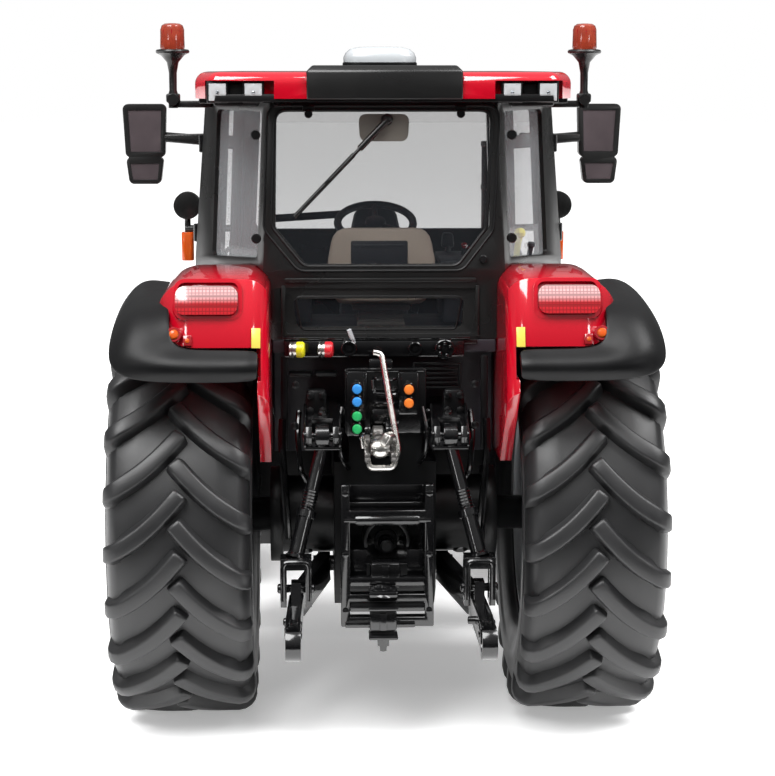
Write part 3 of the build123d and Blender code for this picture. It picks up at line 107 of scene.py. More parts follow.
finishes = {
    # glossy spray enamel on die-cast zinc: deep red, sharp highlights, a faint orange peel
    "redEnamel": {"base": "A8041A", "second": "B20A20", "rough": (0.10, 0.16), "patch": 14, "grain": 0.9,
                  "bump": 0.012,
                  "sockets": {"Coat Weight": 1.0, "Coat Roughness": 0.04}},
    # moulded ABS with a spark-eroded grain: near black, broad soft highlights
    "blackAbs": {"base": "0A0A0B", "second": "0F0F10", "rough": (0.34, 0.46), "patch": 6, "grain": 0.22,
                 "bump": 0.02,
                 "sockets": {"Specular IOR Level": 0.2}},
    # polished ABS of the cab and mirrors: black with clearer highlights
    "cabBlack": {"base": "131313", "second": "191919", "rough": (0.24, 0.34), "patch": 8, "grain": 0.4,
                 "bump": 0.008,
                 "sockets": {"Specular IOR Level": 0.4}},
    # gloss enamel on the small castings of the linkage: black, bright edges
    "linkageBlack": {"base": "070708", "second": "0D0D0E", "rough": (0.12, 0.22), "patch": 3, "grain": 0.35,
                     "bump": 0.015,
                     "sockets": {"Specular IOR Level": 0.5, "Coat Weight": 0.3, "Coat Roughness": 0.06}},
    # dark grey enamel over a slightly rough sand-cast texture
    "castGrey": {"base": "070708", "second": "0D0E0F", "rough": (0.30, 0.44), "patch": 4, "grain": 0.5,
                 "bump": 0.03,
                 "sockets": {"Specular IOR Level": 0.25}},
    # soft moulded rubber: dull, dark grey, mould texture fine as dust
    "tyreRubber": {"base": "151516", "second": "202021", "rough": (0.36, 0.50), "patch": 7, "grain": 0.25,
                   "bump": 0.02,
                   "strength": 0.5, "sockets": {"Specular IOR Level": 0.45}},
    # silver lacquer with fine metal flake on the rims
    "rimSilver": {"base": "B4B6B8", "second": "A6A8AB", "rough": (0.28, 0.36), "patch": 5, "grain": 0.2,
                  "bump": 0.006,
                  "sockets": {"Metallic": 0.7}},
    # bright nickel plate on the wire, claw and ball ends
    "nickelPlate": {"base": "C9C7C3", "second": "B4B1AC", "rough": (0.22, 0.34), "patch": 2, "grain": 0.6,
                    "bump": 0.01,
                    "sockets": {"Metallic": 1.0}},
    # dull plated steel of the claw: darker than the wire, softened glints
    "linkageSteel": {"base": "6E6C6A", "second": "504E4C", "rough": (0.25, 0.40), "patch": 1.5, "grain": 0.4,
                     "bump": 0.015,
                     "sockets": {"Metallic": 0.8}},
    # matt vinyl-textured plastic of the seat, warm beige
    "seatBeige": {"base": "BDAE9F", "second": "CBBCAD", "rough": (0.55, 0.70), "patch": 5, "grain": 0.3,
                  "bump": 0.05},
    # the same plastic in mid grey, for the seat's frame and the wiper motor's cover
    "seatGrey": {"base": "5C5954", "second": "6B675F", "rough": (0.5, 0.65), "patch": 4, "grain": 0.3,
                 "bump": 0.03},
    # dull moulded interior plastic, dark grey
    "cabinGrey": {"base": "1B1C22", "second": "23242A", "rough": (0.45, 0.60), "patch": 4, "grain": 0.3,
                  "bump": 0.03},
    # white gloss plastic with a hint of blue
    "domeWhite": {"base": "A9ACAE", "second": "9DA1A4", "rough": (0.18, 0.26), "patch": 6, "grain": 0.5,
                  "bump": 0.01},
    # opaque orange lens plastic
    "amberLens": {"base": "C2541A", "second": "A94412", "rough": (0.10, 0.18), "patch": 3, "grain": 0.4,
                  "bump": 0.02,
                  "sockets": {"Subsurface Weight": 0.3, "Subsurface Scale": 0.001}},
    # deep red-orange tinted beacon plastic
    "beaconRed": {"base": "A6432C", "second": "722113", "rough": (0.10, 0.20), "patch": 1.6, "grain": 0.5,
                  "bump": 0.04,
                  "sockets": {"Transmission Weight": 0.2, "Coat Weight": 0.6}},
    "lensRed": {"base": "8E1018", "second": "7C0C14", "rough": (0.10, 0.18), "patch": 2, "grain": 0.4,
                "bump": 0.02,
                "sockets": {"Coat Weight": 0.8}},
    "capBlue": {"base": "2E7FC4", "second": "2874B8", "rough": (0.30, 0.40), "patch": 2, "grain": 0.3,
                "bump": 0.02},
    "capGreen": {"base": "1F9A55", "second": "198A4B", "rough": (0.30, 0.40), "patch": 2, "grain": 0.3,
                 "bump": 0.02},
    "capOrange": {"base": "D9752B", "second": "CB6820", "rough": (0.30, 0.40), "patch": 2, "grain": 0.3,
                  "bump": 0.02},
    "capYellow": {"base": "D9D21E", "second": "CDC414", "rough": (0.30, 0.40), "patch": 2, "grain": 0.3,
                  "bump": 0.02},
    "capRed": {"base": "C8202A", "second": "B81A24", "rough": (0.30, 0.40), "patch": 2, "grain": 0.3,
               "bump": 0.02},
    # printed film: flat yellow, slightly glossy, left blank
    "stickerYellow": {"base": "CDBB4E", "second": "C4B044", "rough": (0.25, 0.35), "patch": 2, "grain": 0.5,
                      "bump": 0.004},
    # a mirror's face: painted reflection, a dark grey with a warm cast standing in for the room and the red
    # paint it mirrors, under a clear gloss
    "mirrorSilver": {"base": "3A3436", "second": "5E5558", "rough": (0.04, 0.08), "patch": 6, "grain": 3,
                     "bump": 0.006,
                     "sockets": {"Metallic": 0.2}},
    # faceted silver bowl behind a clear lamp lens
    "lampBowl": {"base": "C4C8CC", "second": "8F959B", "rough": (0.08, 0.20), "patch": 0.5, "grain": 0.45,
                 "bump": 0.12,
                 "strength": 0.8, "sockets": {"Metallic": 0.85}},
    # satin black enamel of the exhaust, a little brown from heat
    "exhaustBlack": {"base": "1A1918", "second": "26221F", "rough": (0.30, 0.45), "patch": 5, "grain": 0.3,
                     "bump": 0.02},
}
paint = {name: newFinish(name, look) for name, look in finishes.items()}


def clearFinish(name, tintHex, cover, rough):
    # thin clear moulding: mostly see-through, with the gloss of its surface on top
    finish = bpy.data.materials.new(name)
    finish.use_nodes = True
    tree = finish.node_tree
    out = tree.nodes["Material Output"]
    shader = tree.nodes["Principled BSDF"]
    place = addNode(tree, "ShaderNodeTexCoord").outputs["Object"]
    ripple = addNode(tree, "ShaderNodeTexNoise", {"Scale": 1 / (12 * mm), "Detail": 1.0}, {"Vector": place})
    relief = addNode(tree, "ShaderNodeBump", {"Strength": 0.15, "Distance": 0.05 * mm},
                     {"Height": ripple.outputs["Fac"]})
    tree.links.new(relief.outputs["Normal"], shader.inputs["Normal"])
    shader.inputs["Base Color"].default_value = toLinear(tintHex)
    shader.inputs["Roughness"].default_value = rough
    shader.inputs["Alpha"].default_value = cover
    shader.inputs["Coat Weight"].default_value = 0.5
    finish.surface_render_method = "BLENDED"
    return finish


paint["clearPane"] = clearFinish("clearPane", "2A2D31", 0.19, 0.04)
paint["quarterPane"] = clearFinish("quarterPane", "A4A7AA", 0.34, 0.04)
paint["clearLens"] = clearFinish("clearLens", "F4F6F8", 0.30, 0.05)
print("finishes made:", len(paint))


cameraRig = {"x": -8.94, "behindAxle": 270.0, "height": 83.4, "yaw": 2.04, "pitch": 8.7, "lens": 97.36}


def placeCamera(rig):
    bpy.ops.object.camera_add(location=Vector((rig["x"], rearAxle.y - rig["behindAxle"], rig["height"])) * mm,
                              rotation=(math.radians(90 - rig["pitch"]), 0, math.radians(-rig["yaw"])))
    camera = bpy.context.object
    camera.data.lens = rig["lens"]
    camera.data.sensor_width = 36
    camera.data.clip_start = 0.01
    bpy.context.scene.camera = camera


placeCamera(cameraRig)


def editOn(piece):
    if bpy.context.mode != "OBJECT":
        bpy.ops.object.mode_set(mode="OBJECT")
    bpy.ops.object.select_all(action="DESELECT")
    piece.select_set(True)
    bpy.context.view_layer.objects.active = piece
    bpy.ops.object.mode_set(mode="EDIT")


def editOff():
    bpy.ops.object.mode_set(mode="OBJECT")


def pick(piece, kind, test):
    # selects the verts, edges or faces of a piece in edit mode whose middle, in millimetres, passes the test
    bpy.ops.mesh.select_mode(type={"verts": "VERT", "edges": "EDGE", "faces": "FACE"}[kind])
    bpy.ops.mesh.select_all(action="DESELECT")
    mesh = bmesh.from_edit_mesh(piece.data)
    for item in getattr(mesh, kind):
        if kind == "verts":
            middle = item.co
        elif kind == "edges":
            middle = (item.verts[0].co + item.verts[1].co) / 2
        else:
            middle = item.calc_center_median()
        item.select_set(bool(test(middle / mm, item)))
    mesh.select_flush_mode()
    bmesh.update_edit_mesh(piece.data)


def addModifier(piece, kind, **settings):
    change = piece.modifiers.new(kind.lower(), kind)
    for key, value in settings.items():
        setattr(change, key, value)
    bpy.ops.object.select_all(action="DESELECT")
    piece.select_set(True)
    bpy.context.view_layer.objects.active = piece
    bpy.ops.object.modifier_apply(modifier=change.name)


def finishPiece(piece, name, finish, body, smooth=32):
    piece.name = name
    piece.data.materials.clear()
    for each in (finish if isinstance(finish, (list, tuple)) else [finish]):
        piece.data.materials.append(paint[each])
    bpy.ops.object.select_all(action="DESELECT")
    piece.select_set(True)
    bpy.context.view_layer.objects.active = piece
    bpy.ops.object.shade_smooth_by_angle(angle=math.radians(smooth))
    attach(piece, body)
    return piece


def softened(node, name, finish, bevel=0.16, segments=2, angle=34):
    # the CAD node's own form with its sharp edges eased, as a mould or a coat of paint eases them
    source = nodes[node]
    piece = bpy.data.objects.new(name, source.data.copy())
    bpy.context.collection.objects.link(piece)
    editOn(piece)
    bpy.ops.mesh.select_all(action="SELECT")
    bpy.ops.mesh.remove_doubles(threshold=0.0005 * mm)
    bpy.ops.mesh.dissolve_limited(angle_limit=math.radians(0.6))
    editOff()
    if bevel:
        addModifier(piece, "BEVEL", width=bevel * mm, segments=segments, limit_method="ANGLE",
                    angle_limit=math.radians(angle),
                    harden_normals=False)
    finishPiece(piece, name, finish, bodyOfNode[node])
    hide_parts(node)
    return piece


def fresh(piece):
    # selects one piece alone, as every operator below expects
    bpy.ops.object.select_all(action="DESELECT")
    piece.select_set(True)
    bpy.context.view_layer.objects.active = piece
    return piece


def shaped(piece, rule):
    # moves each vertex of a piece to where the rule puts it
    editOn(piece)
    mesh = bmesh.from_edit_mesh(piece.data)
    for vert in mesh.verts:
        vert.co = Vector(rule(*(vert.co / mm))) * mm
    bmesh.update_edit_mesh(piece.data)
    editOff()
    return piece


def tidied(piece, merge=0.002):
    editOn(piece)
    bpy.ops.mesh.select_all(action="SELECT")
    bpy.ops.mesh.remove_doubles(threshold=merge * mm)
    bpy.ops.mesh.normals_make_consistent(inside=False)
    editOff()
    return piece


def laid(piece, at, toward=(0, 0, 1), roll=0):
    # stands a piece that was made on the Z axis at a place, its top toward a direction
    turn = Vector(toward).to_track_quat("Z", "Y").to_matrix().to_4x4()
    piece.data.transform(Matrix.Translation(Vector(at) * mm) @ turn
                         @ Matrix.Rotation(math.radians(roll), 4, "Z"))
    return piece


def turned(rows, at, toward=(0, 0, 1), sides=20, roll=0):
    # a turned form from its rows of (distance along the axis, radius): a disc pulled out and scaled row
    # by row
    bpy.ops.object.select_all(action="DESELECT")
    along, radius = rows[0]
    bpy.ops.mesh.primitive_circle_add(vertices=sides, radius=radius * mm, fill_type="NGON",
                                      location=(0, 0, along * mm))
    piece = bpy.context.object
    bpy.ops.object.transform_apply(location=True)
    bpy.ops.object.mode_set(mode="EDIT")
    bpy.ops.mesh.select_all(action="SELECT")
    for nextAlong, nextRadius in rows[1:]:
        bpy.ops.mesh.extrude_region_move(TRANSFORM_OT_translate={"value": (0, 0, (nextAlong - along) * mm)})
        bpy.ops.transform.resize(value=(nextRadius / radius, nextRadius / radius, 1))
        along, radius = nextAlong, nextRadius
    bpy.ops.mesh.select_all(action="SELECT")
    bpy.ops.mesh.normals_make_consistent(inside=False)
    editOff()
    return laid(piece, at, toward, roll)


def block(size, at, bevel=0.12, top=(1, 1), toward=(0, 0, 1), roll=0, segments=2):
    # a moulded block: its top face drawn in by the two shares of top, then its edges rounded
    bpy.ops.object.select_all(action="DESELECT")
    bpy.ops.mesh.primitive_cube_add(size=1)
    piece = bpy.context.object
    piece.data.transform(Matrix.Diagonal((*[s * mm for s in size], 1)))
    editOn(piece)
    pick(piece, "faces", lambda middle, face: face.normal.z > 0.9)
    bpy.ops.transform.resize(value=(*top, 1))
    bpy.ops.mesh.select_all(action="SELECT")
    bpy.ops.mesh.bevel(offset=bevel * mm, segments=segments, affect="EDGES")
    editOff()
    return laid(piece, at, toward, roll)


def pipe(points, radius, sides=4, closed=False):
    # a smooth bent bar or hose through its points
    curve = bpy.data.curves.new("pipe", "CURVE")
    curve.dimensions = "3D"
    curve.bevel_depth = radius * mm
    curve.bevel_resolution = sides
    curve.use_fill_caps = True
    spline = curve.splines.new("NURBS")
    spline.points.add(len(points) - 1)
    for point, place in zip(spline.points, points):
        point.co = (*(Vector(place) * mm), 1)
    spline.order_u = min(4, len(points))
    spline.use_endpoint_u = not closed
    spline.use_cyclic_u = closed
    spline.resolution_u = 6
    piece = bpy.data.objects.new("pipe", curve)
    bpy.context.collection.objects.link(piece)
    fresh(piece)
    bpy.ops.object.convert(target="MESH")
    return tidied(bpy.context.object, 0.0005)


def slab(outline, x0, x1, bevel=0.1, plane="side"):
    # a plate: an outline of (y, z) for a side plate or (x, z) for a rear one, pulled out through its
    # thickness
    bpy.ops.object.select_all(action="DESELECT")
    bpy.ops.mesh.primitive_circle_add(vertices=len(outline), fill_type="NGON")
    piece = bpy.context.object
    editOn(piece)
    mesh = bmesh.from_edit_mesh(piece.data)
    for vert, (across, up) in zip(mesh.verts, outline):
        vert.co = Vector((x0, across, up) if plane == "side" else (across, x0, up)) * mm
    bmesh.update_edit_mesh(piece.data)
    bpy.ops.mesh.select_all(action="SELECT")
    step = (x1 - x0) * mm
    bpy.ops.mesh.extrude_region_move(TRANSFORM_OT_translate={"value": (step, 0, 0) if plane == "side"
                                                             else (0, step, 0)})
    bpy.ops.mesh.select_all(action="SELECT")
    bpy.ops.mesh.normals_make_consistent(inside=False)
    editOff()
    if bevel:
        addModifier(piece, "BEVEL", width=bevel * mm, segments=2, limit_method="ANGLE",
                    angle_limit=math.radians(30))
    return piece


def copied(piece, change):
    other = bpy.data.objects.new(piece.name, piece.data.copy())
    bpy.context.collection.objects.link(other)
    other.data.transform(change)
    if change.determinant() < 0:
        other.data.flip_normals()
    return other


mirrorX = Matrix.Diagonal((-1, 1, 1, 1))


def bothSides(pieces):
    return list(pieces) + [copied(piece, mirrorX) for piece in pieces]


def joined(pieces, name, finish, body, smooth=32):
    bpy.ops.object.select_all(action="DESELECT")
    for piece in pieces:
        piece.select_set(True)
    bpy.context.view_layer.objects.active = pieces[0]
    if len(pieces) > 1:
        bpy.ops.object.join()
    return finishPiece(bpy.context.object, name, finish, body, smooth)


def spun(profile, middle, steps):
    # a closed outline of (across, radius) swept once round an axle that lies along X
    bpy.ops.object.select_all(action="DESELECT")
    bpy.ops.mesh.primitive_circle_add(vertices=len(profile), fill_type="NOTHING")
    piece = bpy.context.object
    editOn(piece)
    mesh = bmesh.from_edit_mesh(piece.data)
    for vert, (across, radius) in zip(mesh.verts, profile):
        vert.co = (middle + Vector((across, 0, radius))) * mm
    bmesh.update_edit_mesh(piece.data)
    bpy.ops.mesh.select_all(action="SELECT")
    bpy.ops.mesh.spin(steps=steps, angle=2 * math.pi, center=middle * mm, axis=(1, 0, 0))
    editOff()
    return tidied(piece)


# CAD node -> finish and width of its eased edges; 0 leaves the node itself in place
nodeLooks = {
    "rear_housing": ("castGrey", 0.25), "engine_block": ("castGrey", 0.25),
    "front_support": ("castGrey", 0.25),
    "front_axle": ("castGrey", 0.2), "side_tanks": ("blackAbs", 0.3), "steps": ("blackAbs", 0.12),
    "bonnet": ("redEnamel", 0.22),
    "bonnet_grilles": ("blackAbs", 0.1), "headlamps": ("lampBowl", 0.15), "exhaust": ("exhaustBlack", 0.2),
    "cab_frame": ("cabBlack", 0.2), "cab_floor": ("cabinGrey", 0.2), "rear_window": ("clearPane", 0),
    "quarter_windows": ("quarterPane", 0),
    "door_windows": ("clearPane", 0), "windscreen": ("clearPane", 0), "dashboard": ("cabinGrey", 0.4),
    "roof": ("redEnamel", 0.2), "roof_hatch": ("cabBlack", 0.2),
    "mirrors": ("cabBlack", 0.25), "mirror_faces": ("mirrorSilver", 0), "side_lamps": ("cabBlack", 0.15),
    "side_indicators": ("amberLens", 0.15), "fenders": ("redEnamel", 0.22),
    "hitch_frame": ("linkageBlack", 0.15), "lift_arms": ("linkageBlack", 0.15),
    "tie_rod": ("linkageBlack", 0.1),
}
for word in ("left", "right"):
    nodeLooks.update({f"knuckle_{word}": ("castGrey", 0.15), f"lift_rod_{word}": ("linkageBlack", 0.12),
                      f"lower_link_{word}": ("linkageBlack", 0.2)})
for node, (finish, bevel) in nodeLooks.items():
    if bevel:
        softened(node, node + "_form", finish, bevel)
    else:
        nodes[node].data.materials.clear()
        nodes[node].data.materials.append(paint[finish])
print("solids dressed")


# phase is the middle of the first lug of the outer and of the inner row, in degrees from the top toward
# the rear
tyres = {
    "rear": {"radius": 25.5, "half": 9.0, "bead": 14.62, "track": 25.4, "axle": rearAxle, "lugs": 21,
             "width": 1.0,
             "phase": {"left": (12.6, 3.7), "right": (4.4, 13.2)}},
    "front": {"radius": 18.5, "half": 6.4, "bead": 10.22, "track": 26.8, "axle": frontAxle, "lugs": 20,
              "width": 0.78,
              "phase": {"left": (3.0, 12.0), "right": (3.0, 12.0)}},
}
# share of the half width, share of the wall's height below the lugs' tips
carcassRows = [(0.0, 0.131), (0.5, 0.133), (0.80, 0.161), (0.89, 0.225), (0.945, 0.34), (0.965, 0.40),
               (0.966, 0.44),
               (0.985, 0.455), (0.99, 0.56), (0.975, 0.67), (0.955, 0.69), (0.94, 0.75), (0.90, 0.85),
               (0.85, 0.93),
               (0.80, 0.955), (0.78, 0.985), (0.72, 1.0)]


def carcass(tyre, middle):
    wall = tyre["radius"] - tyre["bead"]
    side = [(share * tyre["half"], tyre["radius"] - depth * wall) for share, depth in carcassRows]
    return spun(side + [(-across, radius) for across, radius in reversed(side[1:])], middle, 96)


def lugSection(tyre, run):
    # the tread's outer line at a run from its middle: place across, radius, and the line's lean from level
    scale = tyre["half"] / 9
    flat, corner = 6.6 * scale, 2.4 * scale
    if run <= flat:
        return run, tyre["radius"] - 0.05 * (run / flat) ** 2, 0.0
    lean = min((run - flat) / corner, math.pi / 2)
    over = max(run - flat - corner * math.pi / 2, 0)
    return flat + corner * math.sin(lean), tyre["radius"] - 0.05 - corner * (1 - math.cos(lean)) - over, lean


def lugLag(tyre, run):
    # how far the lug trails behind its tip: steep at the middle of the tread, easing toward the shoulder
    scale = tyre["half"] / 9
    share = min(max(run, 0) / (8.3 * scale), 1)
    past = max(run - 8.3 * scale, 0)
    return scale * 6.9 * (0.45 * share + 0.55 * (1 - (1 - share) ** 2)) + 0.22 * past + 1.2 * min(run, 0)


def makeLug(tyre, middle, start):
    # one lug: a bar cut into short lengths, its top edges rounded, then laid along the tread and over the
    # shoulder
    scale = tyre["half"] / 9
    length, cuts = 13.4 * scale, 14
    bpy.ops.object.select_all(action="DESELECT")
    bpy.ops.mesh.primitive_cube_add(size=1)
    piece = bpy.context.object
    piece.data.transform(Matrix.Diagonal((length * mm, 2 * mm, 1.6 * mm, 1)))
    editOn(piece)
    for cut in range(1, cuts):
        bpy.ops.mesh.select_all(action="SELECT")
        bpy.ops.mesh.bisect(plane_co=((cut / cuts - 0.5) * length * mm, 0, 0), plane_no=(1, 0, 0))
    pick(piece, "edges", lambda at, edge: edge.calc_face_angle(0) > 1 and at.z > -0.5)
    bpy.ops.mesh.bevel(offset=0.3 * scale * mm, segments=2, affect="EDGES")
    editOff()

    def onTread(x, y, z):
        run, rise = x + length / 2 - 0.45 * scale, z / 1.6 + 0.5
        step = 0.05
        lean = math.atan2(lugLag(tyre, run + step) - lugLag(tyre, run - step), 2 * step)
        wide = y / 2 * tyre["width"] * (2.7 - 0.95 * rise + 0.25 * min(max(run, 0) / (8 * scale), 1))
        run, lag = run - wide * math.sin(lean), lugLag(tyre, run) + wide * math.cos(lean)
        across, radius, tilt = lugSection(tyre, run)
        fade = min(max((run - 8.6 * scale) / (4.2 * scale), 0), 1)
        deep = (1 - rise) * (1.62 - 0.95 * fade) + 0.32 * fade ** 2
        across, radius = across - deep * math.sin(tilt) * scale, radius - deep * math.cos(tilt)
        turn = start + (lag - 3.4 * scale) / tyre["radius"]
        return middle + Vector((across, -radius * math.sin(turn), radius * math.cos(turn)))

    return tidied(shaped(piece, onTread))


def lugRow(tyre, middle, start, flip):
    # the lug repeated all round the axle, for the row on one side of the tread
    piece = makeLug(tyre, middle, math.radians(start))
    if flip:
        piece.data.transform(Matrix.Translation((2 * middle.x * mm, 0, 0)) @ mirrorX)
        piece.data.flip_normals()
    editOn(piece)
    bpy.ops.mesh.select_all(action="SELECT")
    count = tyre["lugs"]
    bpy.ops.mesh.spin(steps=count - 1, angle=2 * math.pi * (count - 1) / count, center=middle * mm,
                      axis=(1, 0, 0), dupli=True)
    editOff()
    return piece


def makeTyre(end, word):
    tyre = tyres[end]
    side = -1 if word == "left" else 1
    middle = Vector((side * tyre["track"], tyre["axle"].y, tyre["axle"].z))
    outer, inner = tyre["phase"][word]
    rows = [lugRow(tyre, middle, outer, side < 0), lugRow(tyre, middle, inner, side > 0)]
    node = f"{end}_tyre_{word}"
    piece = joined([carcass(tyre, middle)] + rows, node + "_treaded", "tyreRubber", bodyOfNode[node], 40)
    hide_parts(node)


for end in tyres:
    for word in ("left", "right"):
        makeTyre(end, word)
print("tyres treaded")


# rims: a turned barrel with rolled beads, a dish with a bolt ring, a hub and a valve
def discBolts(spot, out, ring, count, height, size):
    # a ring of hexagon heads on washers round an axle that lies along X
    first = turned([(0, size * 1.25), (0.12, size * 1.25), (0.13, size), (height, size),
                    (height + 0.1, size * 0.7)], (0, 0, ring), (out, 0, 0), 6)
    bolts = [first] + [copied(first, Matrix.Identity(4)) for k in range(count - 1)]
    for k, bolt in enumerate(bolts):
        bolt.data.transform(Matrix.Translation(Vector(spot) * mm)
                            @ Matrix.Rotation(2 * math.pi * (k + 0.5) / count, 4, "X"))
    return bolts


rimShapes = {"rear": {"bolts": 10, "ring": 4.7, "size": 0.42},
             "front": {"bolts": 8, "ring": 3.1, "size": 0.36}}
for word, out in (("left", -1), ("right", 1)):
    for end, shape in rimShapes.items():
        low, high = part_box(f"{end}_rim_{word}")
        wide, radius = (high[0] - low[0]) * 1000, (high[2] - low[2]) * 500
        middle = Vector(((low[0] + high[0]) / 2, (low[1] + high[1]) / 2, (low[2] + high[2]) / 2)) * 1000
        half, well = wide / 2, radius - 1.5
        face = half * 0.12                      # the dish's flange, a little outside the barrel's middle
        profile = [(half, radius), (half, radius - 0.7), (half - 0.7, radius - 1.0), (half - 1.2, well - 0.2),
                   (face + 1.0, well - 0.9),
                   (face - 0.7, well - 1.9), (face - 0.2, radius * 0.66), (face + 0.5, radius * 0.52),
                   (face + 0.5, radius * 0.24),
                   (face + 2.3, radius * 0.21), (face + 2.6, radius * 0.17), (face + 2.6, 0.15),
                   (face - 0.7, 0.15), (face - 0.7, radius * 0.5),
                   (face - 1.5, radius * 0.64), (face - 2.0, well - 1.9), (face - 0.9, well - 1.0),
                   (-half + 1.2, well - 0.3),
                   (-half + 0.7, radius - 1.0), (-half, radius - 0.7), (-half, radius), (-half + 0.6, radius),
                   (-half + 1.3, well + 0.25),
                   (half - 1.3, well + 0.25), (half - 0.6, radius)]
        rim = spun([(out * across, r) for across, r in profile], middle, 72)
        pieces = [rim] + discBolts(middle + Vector((out * (face + 0.5), 0, 0)), out, shape["ring"],
                                   shape["bolts"], 0.55, shape["size"])
        valve = turned([(0, 0.28), (0.5, 0.28), (0.55, 0.2), (1.3, 0.2), (1.35, 0.27), (1.9, 0.25)],
                       middle + Vector((out * (face + 0.2), 0, well - 1.6)), (out, 0, -0.25), 12)
        piece = joined(pieces + [valve], f"{end}_rim_{word}_turned", "rimSilver", f"{end}_wheel_{word}", 40)
        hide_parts(f"{end}_rim_{word}")
print("rims done")


# the fender's lamp face leans forward as it rises
faceLean = 4.1 / 13.0
faceNormal = Vector((0, -1, faceLean)).normalized()


def onFace(x, z, lift=0.0):
    return Vector((x, rearAxle.y - 24.8 + (z - 45.4) * faceLean, z)) + faceNormal * lift


def lampLens(name):
    # a moulded lens: signal red below and pink-white above, the pink-white a painted reflection, with the
    # fine grid of its inner face
    finish = newFinish(name, {"base": "E9D3D2", "second": "E2C4C4", "rough": (0.08, 0.16), "patch": 3,
                              "grain": 0.5, "bump": 0.01})
    tree = finish.node_tree
    shader = tree.nodes["Principled BSDF"]
    place = tree.nodes["Texture Coordinate"].outputs["Object"]
    split = addNode(tree, "ShaderNodeSeparateXYZ", links={"Vector": place})
    # painted reflection: the lens turns from its own red below 55.7 mm to a pink-white reflection above 56.5
    # mm
    lower = addNode(tree, "ShaderNodeMapRange", {"From Min": 56.5 * mm, "From Max": 55.7 * mm},
                    {"Value": split.outputs["Z"]})
    grid = addNode(tree, "ShaderNodeTexVoronoi",
                   {"feature": "DISTANCE_TO_EDGE", "Randomness": 0.0, "Scale": 1 / (0.42 * mm)},
                   {"Vector": place})
    line = addNode(tree, "ShaderNodeMapRange",
                   {"From Min": 0.02, "From Max": 0.22, "To Min": 0.45, "To Max": 1.0},
                   {"Value": grid.outputs["Distance"]})
    red = addNode(tree, "ShaderNodeMix", {"data_type": "RGBA"}, {"Factor": lower.outputs["Result"]})
    red.inputs[6].default_value = toLinear("C89A9A")
    red.inputs[7].default_value = toLinear("A5121C")
    shade = addNode(tree, "ShaderNodeMix", {"data_type": "RGBA", "blend_type": "MULTIPLY"}, {})
    shade.inputs[0].default_value = 1.0
    tree.links.new(red.outputs[2], shade.inputs[6])
    tree.links.new(line.outputs["Result"], shade.inputs[7])
    tree.links.new(shade.outputs[2], shader.inputs["Base Color"])
    shader.inputs["Coat Weight"].default_value = 0.7
    return finish


paint["lampLens"] = lampLens("lampLens")
softened("tail_lamps", "tail_lamp_lenses", "lampLens", 0.25, 3)


def ringOutline(points, radius, sides=5):
    # rounds the corners of an outline of four points that runs anticlockwise from its lower left
    rounded = []
    for k, (across, up) in enumerate(points):
        inward = [(1, 1), (-1, 1), (-1, -1), (1, -1)][k]
        for step in range(sides + 1):
            angle = math.radians(180 + 90 * k + 90 * step / sides)
            rounded.append((across + inward[0] * radius + radius * math.cos(angle),
                            up + inward[1] * radius + radius * math.sin(angle)))
    return rounded


def bezel(grow, depth, radius):
    # a raised rim round the tail lamp, drawn in at its outer edge like the pressed seat of the lamp
    x0, x1, z0, z1 = 17.9 - grow, 25.3 + grow * 0.5, 54.4 - grow, 57.7 + grow
    outer = ringOutline([(x0, z0), (x1, z0), (x1, z1), (x0, z1)], radius)
    bpy.ops.object.select_all(action="DESELECT")
    bpy.ops.mesh.primitive_circle_add(vertices=len(outer), fill_type="NGON")
    piece = bpy.context.object
    editOn(piece)
    mesh = bmesh.from_edit_mesh(piece.data)
    for vert, (across, up) in zip(mesh.verts, outer):
        vert.co = onFace(across, up, -0.3) * mm
    bmesh.update_edit_mesh(piece.data)
    bpy.ops.mesh.select_all(action="SELECT")
    bpy.ops.mesh.inset(thickness=0.22 * mm, depth=0)
    bpy.ops.mesh.extrude_region_move(TRANSFORM_OT_translate={"value": tuple(faceNormal * (depth + 0.3) * mm)})
    bpy.ops.mesh.inset(thickness=(grow - 0.3) * mm, depth=0)
    bpy.ops.mesh.delete(type="FACE")
    editOff()
    return tidied(piece)


joined(bothSides([bezel(0.75, 0.28, 1.5)]), "tail_lamp_seats", "redEnamel", "tractor")

reflector = [turned([(-0.4, 0.95), (0.25, 0.95), (0.38, 0.85), (0.38, 0.62), (0.2, 0.58)],
                    onFace(25.45, 52.0), faceNormal),
             block((1.1, 1.4, 0.5), onFace(23.85, 51.3, 0.1), 0.12, (0.9, 0.9), faceNormal)]
joined(bothSides(reflector), "reflector_rings", "lensRed", "tractor")
joined(bothSides([turned([(0.1, 0.6), (0.42, 0.58), (0.56, 0.45), (0.62, 0.2)], onFace(25.45, 52.0),
                         faceNormal, 24),
                  turned([(0.3, 0.3), (0.42, 0.28), (0.46, 0.15)], onFace(23.85, 51.3), faceNormal, 12)]),
       "reflector_lenses", "amberLens", "tractor")
joined(bothSides([block((1.05, 2.4, 0.08), onFace(15.75, 51.6, 0.03), 0.02, (1, 1), faceNormal)]),
       "fender_stickers", "stickerYellow",
       "tractor")
joined(bothSides([turned([(-0.2, 0.42), (0.12, 0.42), (0.2, 0.3)], (24.4, rearAxle.y - 19.4, 58.0),
                         (0, -0.3, 1), 16)]),
       "fender_plugs", "blackAbs", "tractor")

